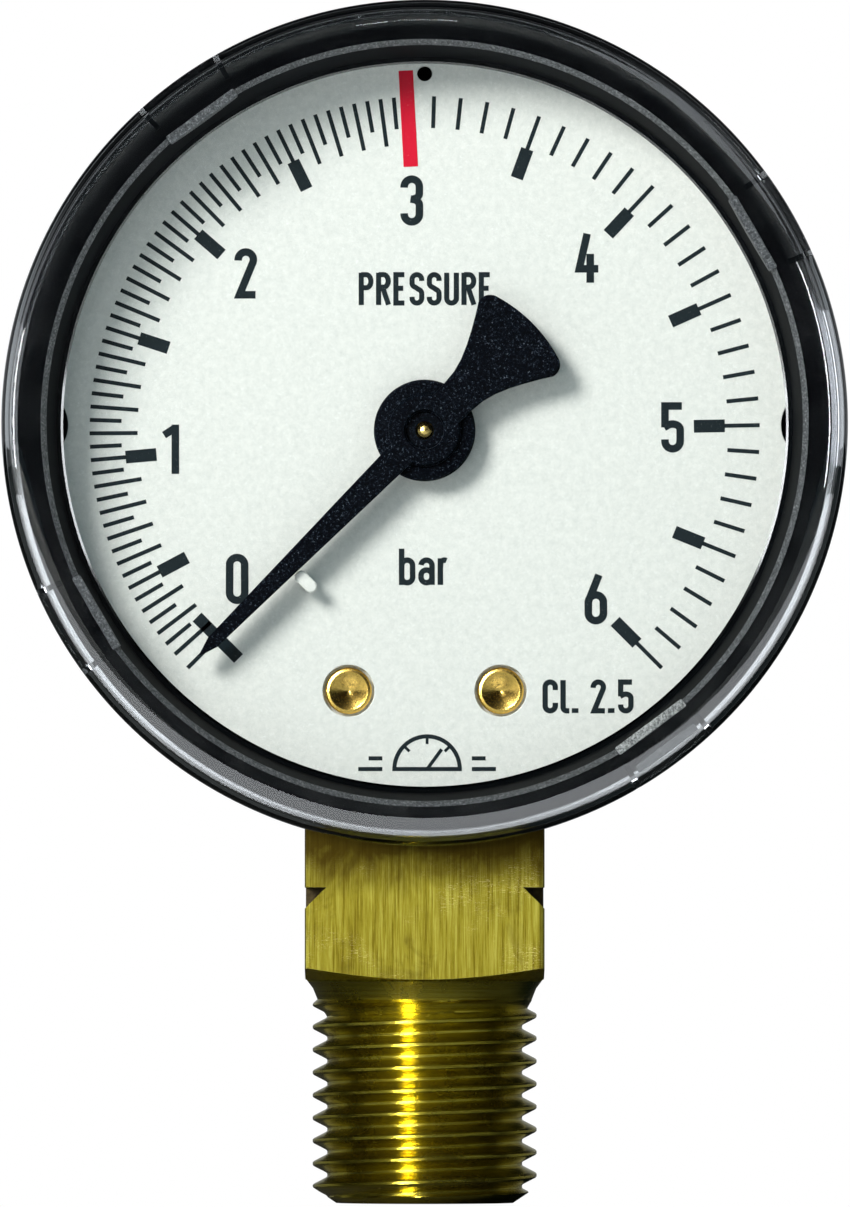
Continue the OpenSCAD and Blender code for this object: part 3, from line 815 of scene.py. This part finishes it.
def make_window(clear, pane, shade):
    outer = [(0, WINDOW_Y), (WINDOW_R, WINDOW_Y), (WINDOW_R, SKIRT_END_Y), (SKIRT_IN, SKIRT_END_Y),
             (SKIRT_IN, PANE_BACK_Y), (0, PANE_BACK_Y)]
    body = revolve(rounded(outer, [0, EDGE_ROUND, 0.12, 0.12, 0.25, 0], 10), CENTRE, closed=False)
    slits, shades = [], Shape()
    for angle in LUG_ANGLES:
        for side in (-1, 1):
            turn = angle + side * LUG_HALF
            slits.append(bar_at(turn, 0.17, SLIT_Y, SKIRT_END_Y + 1, SKIRT_IN - 0.8, WINDOW_R + 1))
            # dark bars in each slit and on the rim behind it: painted shade of the gaps
            shades.join(bar_at(turn, 0.165, SLIT_Y + 0.01, SKIRT_END_Y - 0.05, RIM_R + 0.02,
                               WINDOW_R - 0.12))
            shades.join(bar_at(turn, 0.15, RIM_Y - 0.22, RIM_Y - 0.04, RIM_IN + 1.05, RIM_R + 0.02))
    window = piece("window_shell", cut(body, slits), clear, "window")

    def pick(x, y, z, normal):
        flat = abs(normal.y) > 0.999 and y < PANE_BACK_Y + 0.05
        return 1 if flat and reach(x, z, CENTRE) < WINDOW_R - 1.0 else 0

    paint(window, [pane], pick)
    piece("window_gaps", shades, shade)
    beads = Shape()
    for angle in LUG_ANGLES:
        turns = [angle - LUG_HALF + 2 * LUG_HALF * t / 12 for t in range(13)]
        outline = [on_dial(SKIRT_IN + 0.1, turn, CENTRE) for turn in turns]
        outline += [on_dial(SKIRT_IN - 0.5, turn, CENTRE) for turn in turns[::-1]]
        beads.join(plate([outline], SNAP_FRONT_Y, SNAP_BACK_Y, 0.1))
    piece("window_beads", beads, clear)


# ---- dial and its print

SCALE_OUT_R = 19.48
SHORT_IN_R = 17.63
LONG_IN_R = 16.69
BAR_OUT_R = 17.45
BAR_IN_R = 15.65
TICK_W = 0.235
BAR_W = 0.74
ZERO_R, ZERO_HALF = 17.0, 1.7
RED_IN_R, RED_OUT_R, RED_W = 15.4, 21.0, 0.84
DEGREES_PER_BAR = 46.0
ANGLE_AT_ZERO_BAR = -141.0
INK_T = 0.012


def scale_angle(bar):
    """Dial angle of a pressure. Below 0.2 bar the scale is shortened to meet its zero."""
    return -FULL_TURN / 2 if bar == 0 else ANGLE_AT_ZERO_BAR + DEGREES_PER_BAR * bar


def stroke(path, width, level=0):
    """A flat line of ink along a path of (x, z), a little proud of the dial, more so at each level.
    A path that ends where it starts makes a ring."""
    closed = dist(path[0], path[-1]) < 1e-6
    points = [Vector(p) for p in (path[:-1] if closed else path)]
    count = len(points)
    left, right = [], []
    for i, p in enumerate(points):
        before = p - points[i - 1] if i or closed else None
        after = points[(i + 1) % count] - p if i + 1 < count or closed else None
        a = (before or after).normalized()
        b = (after or before).normalized()
        normal = Vector((-a.y - b.y, a.x + b.x))
        normal.normalize()
        spread = width / 2 / max(0.35, normal.dot(Vector((-a.y, a.x))))
        left.append(p + normal * spread)
        right.append(p - normal * spread)
    front = DIAL_Y - INK_T - 0.003 * level
    back = DIAL_Y + 0.02
    rows = [[(a.x, front, a.y), (b.x, front, b.y), (b.x, back, b.y), (a.x, back, a.y)]
            for a, b in zip(left, right)]
    return skin(rows, looped=closed, capped=not closed)


def radial(angle, inner, outer, width, level=0):
    return stroke([on_dial(inner, angle), on_dial(outer, angle)], width, level)


def arc(cx, cy, rx, ry, start, end, steps=12):
    """Points on an ellipse, its angles anticlockwise from the right."""
    out = []
    for k in range(steps + 1):
        a = radians(start + (end - start) * k / steps)
        out.append((cx + rx * cos(a), cy + ry * sin(a)))
    return out


def bowl(w, top, bottom=0, start=90, end=-270):
    """An oblong of the narrow face between two heights, whole or from one angle to another."""
    r = w / 2
    path = []
    for k in range(33):
        a = start + (end - start) * k / 32
        s = sin(radians(a))
        middle = top - r if s > 0 else bottom + r
        path.append((r + r * cos(radians(a)), middle + r * s))
    return path


def glyph(letter, w):
    """Paths of the strokes of one character, 1 high and w wide."""
    r = w / 2
    x_height = 0.73
    foot = arc(r, r, r, r, 0, -175)
    tall = [(0, 1.07), (0, -0.07)]
    shapes = {
        "0": [bowl(w, 1)],
        "1": [[(-0.02, 0.83), (w * 0.72, 1.0)], [(w * 0.72, 1.075), (w * 0.72, -0.075)]],
        "2": [[(0, 0.80)] + arc(r, 1 - r, r, r, 175, -22, 14) + [(0.03, 0.0), (w + 0.05, 0.0)]],
        "3": [[(0, 0.80)] + arc(r, 1 - r, r, r, 175, 0) + arc(r, 0.67, r, 0.14, -5, -90, 6),
              [(r - 0.03, 0.535)] + arc(r, 0.39, r, 0.14, 85, 0, 6) + foot + [(0, 0.20)]],
        "4": [[(w * 0.52, 1.07), (0.0, 0.25), (w + 0.09, 0.25)],
              [(w * 0.72, 0.6), (w * 0.72, -0.075)]],
        "5": [[(w + 0.04, 1.0), (0.0, 1.0), (0.0, 0.50)],
              [(-0.02, 0.50)] + arc(r, 0.45, r, 0.13, 140, 0, 8) + foot + [(0, 0.22)]],
        "6": [bowl(w, 0.60), [(0.0, 0.3), (0.0, 0.44), (w * 0.70, 1.07)]],
        "b": [[(0, 1.1), (0, -0.07)], bowl(w, x_height)],
        "a": [[(0.0, 0.57)] + arc(r, x_height - r, r, r, 165, 0) + [(w, -0.07)], bowl(w, 0.41)],
        "r": [[(0, x_height + 0.06), (0, -0.07)],
              [(0.0, x_height - 0.22)] + arc(r, x_height - r, r, r, 160, 60, 8)],
        "C": [[(w, 0.72)] + bowl(w, 1, 0, 5, 355) + [(w, 0.28)]],
        "l": [[(0, 1.07)] + arc(0.12, 0.12, 0.12, 0.12, 180, 270, 6) + [(0.22, 0)]],
        ".": [[(0, -0.075), (0, 0.09)]],
        "P": [tall, [(0, 1.0)] + arc(w - 0.16, 0.77, 0.16, 0.23, 90, -90) + [(0, 0.54)]],
        "R": [tall, [(0, 1.0)] + arc(w - 0.16, 0.78, 0.16, 0.22, 90, -90) + [(0, 0.56)],
              [(w * 0.42, 0.56), (w + 0.01, -0.06)]],
        "E": [[(w, 1.0), (0, 1.0), (0, 0), (w, 0)], [(0, 0.52), (w * 0.86, 0.52)]],
        "S": [[(w, 0.78)] + arc(r, 1 - r, r, r, 10, 180) + arc(r, 0.70, r, 0.15, 185, 250, 5)
              + arc(r, 0.34, r, 0.15, 70, -5, 5) + arc(r, r, r, r, 0, -170) + [(0, 0.22)]],
        "U": [[(0, 1.07)] + arc(r, r, r, r, 180, 360) + [(w, 1.07)]],
    }
    return shapes[letter]


ADVANCE = {".": 0.33, "l": 0.42, " ": 0.30, "1": 0.56}
GLYPH_W = {"1": 0.34, "l": 0.16, ".": 0.0, "r": 0.26, "E": 0.30}


def lettering(text, centre, height, weight, width=0.355):
    """Characters centred on a point measured from the pointer's axis, in strokes of a weight."""
    rise = height - weight
    places, x = [], 0.0
    for letter in text:
        w = GLYPH_W.get(letter, width)
        places.append((letter, x, w))
        x += ADVANCE.get(letter, w + 0.27)
    last = places[-1]
    start = AXIS[0] + centre[0] - (last[1] + last[2]) * rise / 2
    base = AXIS[1] + centre[1] - rise / 2
    shape = Shape()
    for letter, left, w in places:
        if letter == " ":
            continue
        for level, path in enumerate(glyph(letter, w)):
            moved = [(start + (left + px) * rise, base + pz * rise) for px, pz in path]
            shape.join(stroke(moved, weight * (1.25 if letter == "." else 1), level))
    return shape


def scale_marks():
    """Ticks every 0.05 bar up to 3 bar and every 0.1 bar above, heavy every 0.5 bar."""
    shape = Shape()
    fine = [k * 0.05 for k in range(4, 60)]
    coarse = [3 + k * 0.1 for k in range(1, 31)]
    for k, bar in enumerate(fine + coarse):
        angle = scale_angle(bar)
        half_bar = abs(bar * 2 - round(bar * 2)) < 1e-6
        tenth = abs(bar * 10 - round(bar * 10)) < 1e-6
        if half_bar:
            shape.join(radial(angle, BAR_OUT_R - 0.05, SCALE_OUT_R, TICK_W))
            shape.join(radial(angle, BAR_IN_R, BAR_OUT_R, BAR_W))
        else:
            long_tick = tenth and bar < 3
            shape.join(radial(angle, LONG_IN_R if long_tick else SHORT_IN_R, SCALE_OUT_R, TICK_W))
    zero = scale_angle(0)
    shape.join(radial(zero, ZERO_R + 0.3, SCALE_OUT_R, TICK_W))
    along = ZERO_HALF / ZERO_R
    ends = [on_dial(ZERO_R / cos(along), zero + side * degrees(along)) for side in (-1, 1)]
    return shape.join(stroke(ends, BAR_W - 0.01))


def gauge_sign(x, z):
    """A small plain picture of a gauge: an arch with three ticks and a needle, between two bars."""
    x, low = AXIS[0] + x, AXIS[1] + z - 1.1
    arch = [(x + px, low + pz) for px, pz in arc(0, 0, 1.9, 1.9, 0, 180, 24)]
    shape = stroke(arch, 0.24)
    shape.join(stroke([(x - 2.02, low), (x + 2.02, low)], 0.24, 1))
    shape.join(stroke([(x, low), (x + 0.85, low + 1.15)], 0.2, 2))
    for turn in (45, 0, -45):
        shape.join(stroke([on_dial(r, turn, (x, low)) for r in (1.45, 1.8)], 0.17, 1))
    for side in (-1, 1):
        for end, up in ((4.0, 0), (3.4, 0.62)):
            shape.join(stroke([(x + side * 2.6, low + up), (x + side * end, low + up)], 0.24))
    return shape


def make_dial(white, black_ink, red_ink):
    # the edge, with a round notch at each side
    notch_r, notch_at = 2.07, 22.8
    spot, spot_r = (CENTRE[0], CENTRE[1] + 20.45), 0.44
    bite = degrees(acos((DIAL_R ** 2 + notch_at ** 2 - notch_r ** 2) / (2 * DIAL_R * notch_at)))
    edge = []
    for side in (90, 270):
        middle = on_dial(notch_at, side, CENTRE)
        start = on_dial(DIAL_R, side - bite, CENTRE)
        end = on_dial(DIAL_R, side + bite, CENTRE)
        turns = [dial_angle(*point, middle) for point in (start, end)]
        if side == 90:
            turns = [turn % 360 for turn in turns]
        edge += [on_dial(notch_r, turns[0] + (turns[1] - turns[0]) * k / 16, middle) for k in range(17)]
        edge += [on_dial(DIAL_R, side + bite + (180 - 2 * bite) * k / 120, CENTRE)
                 for k in range(1, 120)]
    holes = [circle_points(AXIS, 1.6), circle_points(spot, spot_r, 32)]
    wide = [circle_points(c, 1.5) for c in RIVETS]
    narrow = [circle_points(c, RIVET_HOLE_R) for c in RIVETS]
    shape = plate([edge] + holes + wide, DIAL_Y, DIAL_Y + 0.6, 0.04)
    shape.join(plate([edge] + holes + narrow, DIAL_Y + 0.6, DIAL_Y + 0.9))
    for centre, hole in zip(RIVETS, narrow):
        shape.join(plate([circle_points(centre, 2.1), hole], DIAL_Y + 0.88, -SQUARE_HALF - 0.03))
    piece("dial_plate", shape, white, "dial")

    # the stop pin stands beside the needle at rest
    near, far, stop_z, stop_r = -0.955, -1.725, 11.08, 0.375
    stop = plate([capsule((near, stop_z), (far, stop_z), stop_r)], POINTER_LOW[1] + 0.4, DIAL_Y + 0.05, 0.1)
    piece("stop_pin", placed(stop, AXIS, -FULL_TURN / 2), white)

    marks = scale_marks()
    numerals = {"0": (-10.9, -8.6), "1": (-14.68, -1.06), "2": (-10.4, 9.17), "3": (-0.75, 13.41),
                "4": (9.43, 10.06), "5": (14.41, 0.21), "6": (9.95, -9.78)}
    for digit, place in numerals.items():
        marks.join(lettering(digit, place, 2.93, 0.44))
    marks.join(lettering("PRESSURE", (0.05, 8.27), 1.95, 0.30, 0.34))
    marks.join(lettering("bar", (0.02, -7.92), 2.12, 0.32))
    marks.join(lettering("Cl. 2.5", (9.49, -15.43), 1.98, 0.31))
    marks.join(gauge_sign(0.14, -18.55))
    piece("dial_scale", marks, black_ink, sharp=60, weld=1e-5)
    red = radial(scale_angle(3), RED_IN_R, RED_OUT_R, RED_W, 3)
    piece("dial_red_line", red, red_ink, sharp=60, weld=1e-5)


def capsule(a, b, r, steps=12):
    """Outline of a bar with round ends between two points."""
    heading = degrees(atan2(b[1] - a[1], b[0] - a[0]))
    return (arc(*b, r, r, heading - 90, heading + 90, steps)
            + arc(*a, r, r, heading + 90, heading + 270, steps))


def make_rivets(material):
    shape = Shape()
    dished = [(0, 0.62), (0.12, 0.6), (0.42, 0.42), (1.02, 0.12), (1.12, 0.09), (1.26, 0.12),
              (1.35, 0.22), (1.35, 0.57), (RIVET_HOLE_R - 0.03, 0.57)]
    profile = [(r, DIAL_Y + y) for r, y in dished] + [(RIVET_HOLE_R - 0.03, -3.5), (0, -3.5)]
    for centre in RIVETS:
        shape.join(revolve(profile, centre, 96))
    piece("rivet_heads", shape, material, "dial_rivets", sharp=24)


# ---- pointer

def make_pointer(material):
    low, high = POINTER_LOW[1], POINTER_HIGH[1]
    front, back = low + 0.006, low + 0.6
    root, tip, length = 0.83, 0.38, 18.6
    needle = [(-root, 1.3), (-tip, length - 1.2), (0, length), (tip, length - 1.2), (root, 1.3)]
    fan_r, corner_r, corner_deg = 8.82, 0.75, 16.9
    corner = on_dial(fan_r - corner_r, 180 - corner_deg, (0, 0))
    side = [(1.1, -1.3), (1.11, -2.6), (1.2, -3.6), (1.42, -4.4), (1.76, -5.2), (2.2, -6.05),
            (2.66, -6.85)]
    side += arc(*corner, corner_r, corner_r, 20, corner_deg - 90, 8)
    side += [on_dial(fan_r, 180 - corner_deg * (1 - k / 10), (0, 0)) for k in range(1, 11)]
    fan = side + [(-x, z) for x, z in side[-2::-1]]
    flat = plate([needle], front, back, 0.07)
    flat.join(plate([fan], front, back, 0.09))
    flat = placed(flat, AXIS, -FULL_TURN / 2)
    stepped = [(0.53, 0.35), (1.0, 0.35), (1.1, 0.31), (1.13, 0.06), (1.2, 0), (1.86, 0), (2.0, 0.03),
               (2.08, 0.12), (2.12, 0.3), (2.22, 0.36), (2.68, 0.35), (2.86, 0.41), (2.95, 0.55),
               (2.95, 0.95), (1.3, 0.95)]
    hub = [(r, low + y) for r, y in stepped] + [(1.3, high), (0.53, high)]
    flat.join(revolve(hub, AXIS, 160, closed=True))
    piece("pointer_needle", flat, material, "pointer", "pointer_shaft", sharp=34)


# ---- soft movers: tube and hairspring

TUBE_R = 17.5
TUBE_START, TUBE_END = -164.8, 116.2


def make_tube(material):
    """The flattened tube, as a swept oblong that bends from its soldered end to its tip."""
    half_w, half_flat = 0.95, 1.65
    section = capsule((0, -half_flat), (0, half_flat), half_w, 10)
    steps = 180
    rows = [stood(TUBE_START + (TUBE_END - TUBE_START) * k / steps, section, TUBE_R)
            for k in range(steps + 1)]
    tube = piece("spring_tube", skin(rows, capped=True), material, "bourdon_tube", None, sharp=40)
    bend_along(tube, "gauge_body", "tip", tube_share)


def tube_share(x, z):
    """How far round the tube a point lies, 0 at the block and 1 at the tip."""
    angle = dial_angle(x, z)
    if angle > 150:
        angle -= 360
    return (angle - TUBE_START - 10) / (TUBE_END - TUBE_START - 12)


def bend_along(obj, a, b, share):
    """Bends a piece from body a to body b by a share of its own length instead of a straight line."""
    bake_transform(obj, a, b, start=(0, 0, 0), end=(0, 0, 1))
    values = obj.data.attributes["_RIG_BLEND"].data
    for vertex, value in zip(obj.data.vertices, values):
        x, _, z = vertex.co
        value.value = max(0.0, min(1.0, share(x / MM, z / MM)))


def make_hairspring(material):
    """Flat spiral of five turns, from the collet to the stud."""
    turns, inner, outer = 5, 1.35, 4.6
    stud_at = dial_angle(*middle_mm("hairspring_stud"))
    steps = turns * 60
    half_t, low, high = 0.045, -8.6, -8.2
    section = [(-half_t, low), (half_t, low), (half_t, high), (-half_t, high)]
    path = [(inner + (outer - inner) * k / steps, stud_at - 360 * turns * k / steps)
            for k in range(steps + 1)]
    path += [(outer + 0.28 * k, stud_at - 360 * turns - 1.2 * k) for k in (1, 2)]
    coil = skin([stood(angle, section, r) for r, angle in path], capped=True)
    spring = piece("hairspring_coil", coil, material, "hairspring", None, sharp=50, weld=1e-5)
    bend_along(spring, "gauge_body", "pointer_shaft",
               lambda x, z: (outer - reach(x, z)) / (outer - inner))


# ---- build the object

FINISHES = {
    "movement_brass": stamped_brass(),
    "movement_steel": steel("movement_steel"),
    "screw_steel": steel("screw_steel", (0.60, 0.60, 0.61), 0.32),
}
SHADE = matt_black()
make_stem(brass_stem(), groove_shade_brass())
make_case(case_plastic(),
          rough_plastic("case_lip", (0.02, 0.022, 0.024), (0.10, 0.105, 0.11), (0.40, 0.41, 0.41)),
          # brighter greys: painted light on the pad at the first lug
          rough_plastic("case_pad", (0.08, 0.083, 0.082), (0.42, 0.43, 0.42), (0.82, 0.83, 0.81)),
          SHADE, polished_edge())
make_window(window_clear(), window_pane(), SHADE)
make_dial(dial_white(), print_ink("scale_ink", (0.014, 0.022, 0.027), (0.16, 0.19, 0.2)),
          print_ink("red_ink", (0.72, 0.012, 0.04), (0.80, 0.10, 0.14)))
make_rivets(turned_brass("rivet_brass", (0.86, 0.58, 0.14), 0.2))
make_pointer(pointer_black())
make_tube(tube_bronze())
make_hairspring(steel("spring_steel", (0.42, 0.45, 0.53), 0.2))
SLOT_OF = {s["node"]: s["material_slot"] for s in frame["record"]["subparts"]}
for node, obj in frame["nodes"].items():
    finish = FINISHES.get(SLOT_OF[node])
    if finish and obj.type == "MESH":
        if not obj.material_slots:
            obj.data.materials.append(finish)
        for slot in obj.material_slots:
            slot.material = finish
SHAFT = turned_brass("shaft_brass", (0.80, 0.60, 0.20), 0.2)
for slot in frame["nodes"]["pinion_shaft"].material_slots:
    slot.material = SHAFT


# ---- stage, light and camera

BACKDROP_DARK, BACKDROP_LIGHT = 0.012, 0.4
FILL_COLOUR, FILL_STRENGTH = (0.46, 0.82, 0.95), 0.165


def only_for(name, names):
    """A collection of pieces that a light may be limited to."""
    group = bpy.data.collections.new(name)
    for each in names:
        group.objects.link(bpy.data.objects[each])
    return group


def area_light(name, place, target, size, power, colour, receivers, diffuse=True, gloss=True):
    """A panel in millimetres and watts that lights only its receivers."""
    data = bpy.data.lights.new(name, "AREA")
    data.shape = "RECTANGLE"
    data.size, data.size_y = (v * MM for v in size)
    data.energy = power
    data.color = colour
    lamp = put(name, data)
    lamp.location = Vector(place) * MM
    lamp.rotation_mode = "QUATERNION"
    lamp.rotation_quaternion = (Vector(target) - Vector(place)).to_track_quat("-Z", "Y")
    lamp.light_linking.receiver_collection = receivers
    lamp.visible_camera = False
    lamp.visible_diffuse = diffuse
    lamp.visible_glossy = gloss
    lamp.visible_transmission = gloss


def make_world():
    """A white backdrop behind the gauge, a dark room in front of it, and a dim cool fill."""
    world = bpy.data.worlds.new("room")
    bpy.context.scene.world = world
    n = Nodes(world, "OutputWorld")
    path = n.new("LightPath")
    toward = n.new("SeparateXYZ", Vector=n.new("TexCoord").outputs["Generated"])
    behind = n.span(toward.outputs["Y"], -0.05, 0.45, BACKDROP_DARK, BACKDROP_LIGHT, "SMOOTHSTEP")
    overhead = n.span(toward.outputs["Z"], 0.05, 0.45, 1.0, 0.02, "SMOOTHSTEP")
    seen = n.new("Background", Color=(0.92, 0.96, 1.0, 1), Strength=n.times(behind, overhead))
    fill = n.new("Background", Color=(*FILL_COLOUR, 1), Strength=FILL_STRENGTH)
    white = n.new("Background", Color=(1, 1, 1, 1), Strength=1.0)
    lit = n.choose(path.outputs["Is Diffuse Ray"], seen, fill)
    n.show(n.choose(path.outputs["Is Camera Ray"], lit, white))


def make_floor(material):
    mesh = bpy.data.meshes.new("floor")
    half = 4.0
    mesh.from_pydata([(-half, -half, 0), (half, -half, 0), (half, half, 0), (-half, half, 0)], [],
                     [(0, 1, 2, 3)])
    mesh.materials.append(material)
    put("floor", mesh)


def make_camera():
    """About a metre away, straight on and a touch below the level of the gauge."""
    camera = put("camera", bpy.data.cameras.new("camera"))
    distance = 1012.0
    seen_height = 70.95
    rise = radians(1.2)
    target = Vector((0.02, 0.0, 35.21))
    camera.data.sensor_width = 36
    camera.data.lens = 36 * distance / seen_height
    camera.data.clip_start, camera.data.clip_end = 0.05, 50
    camera.location = (target + distance * Vector((0, -cos(rise), -sin(rise)))) * MM
    camera.rotation_euler = (pi / 2 + rise, 0, 0)
    bpy.context.scene.camera = camera


make_world()
make_floor(floor_white())
TARGET = (0, -10, 42)
MESHES = {obj.name for obj in bpy.data.objects if obj.type == "MESH"}
RIM_PIECES = {"case_shell", "case_pads", "case_worn_pad", "case_scuff", "window_shell", "window_beads",
              "window_gaps"}
RING = only_for("ring", sorted(RIM_PIECES))
BODY = only_for("body", sorted(MESHES - RIM_PIECES - {"case_bead"}))
BEAD = only_for("bead", ["case_bead"])
REAR = only_for("rear", ["case_shell", frame["nodes"]["case_screws"].name])
FRONT = (0, -17, 45)
SIDE = (0, -12, 45)
WARM, WHITE, COOL, BLUE = (1.0, 0.985, 0.93), (1, 1, 1), (0.95, 0.97, 1.0), (0.9, 0.95, 1.0)
SOFT_PLACE, SOFT_SIZE = (-562, -671, 538), (340, 340)
area_light("key_soft", SOFT_PLACE, TARGET, SOFT_SIZE, 12.2, WARM, BODY, gloss=False)
area_light("key_shine", (-330, -880, 330), TARGET, (130, 520), 12.5, WARM, BODY, diffuse=False)
area_light("ring_soft", SOFT_PLACE, TARGET, SOFT_SIZE, 13, WHITE, RING, gloss=False)
area_light("rear_right", (520, 760, 430), (0, 0, 35), (600, 600), 10, (1.0, 0.99, 0.96), REAR)
GLOSS_ONLY = [
    ("ring_left", (-556, -242, 95), FRONT, (84, 190), 1.1, (0.97, 0.98, 1.0), RING),
    ("ring_left_back", (-600, 60, 60), SIDE, (420, 300), 0.2, COOL, RING),
    ("ring_right", (386, -477, 110), FRONT, (60, 220), 1.3, COOL, RING),
    ("ring_right_back", (600, -20, 80), SIDE, (500, 300), 1.5, (0.9, 0.93, 1.0), RING),
    ("ring_top", (-20, -875, 530), TARGET, (120, 24), 0.16, BLUE, RING),
    ("ring_upper_right", (450, -540, 585), TARGET, (420, 420), 1.4, BLUE, RING),
    ("ring_floor", (0, -105, 1), (0, -105, 100), (600, 170), 1.3, (0.93, 0.96, 1.0), RING),
    ("bead_left", (-500, -350, 60), SIDE, (100, 420), 0.8, COOL, BEAD),
    ("bead_right", (500, -350, 60), SIDE, (100, 420), 0.6, COOL, BEAD),
]
for light in GLOSS_ONLY:
    area_light(*light, diffuse=False)
make_camera()
bpy.context.scene.view_settings.view_transform = "Standard"
bpy.context.scene.view_settings.look = "None"
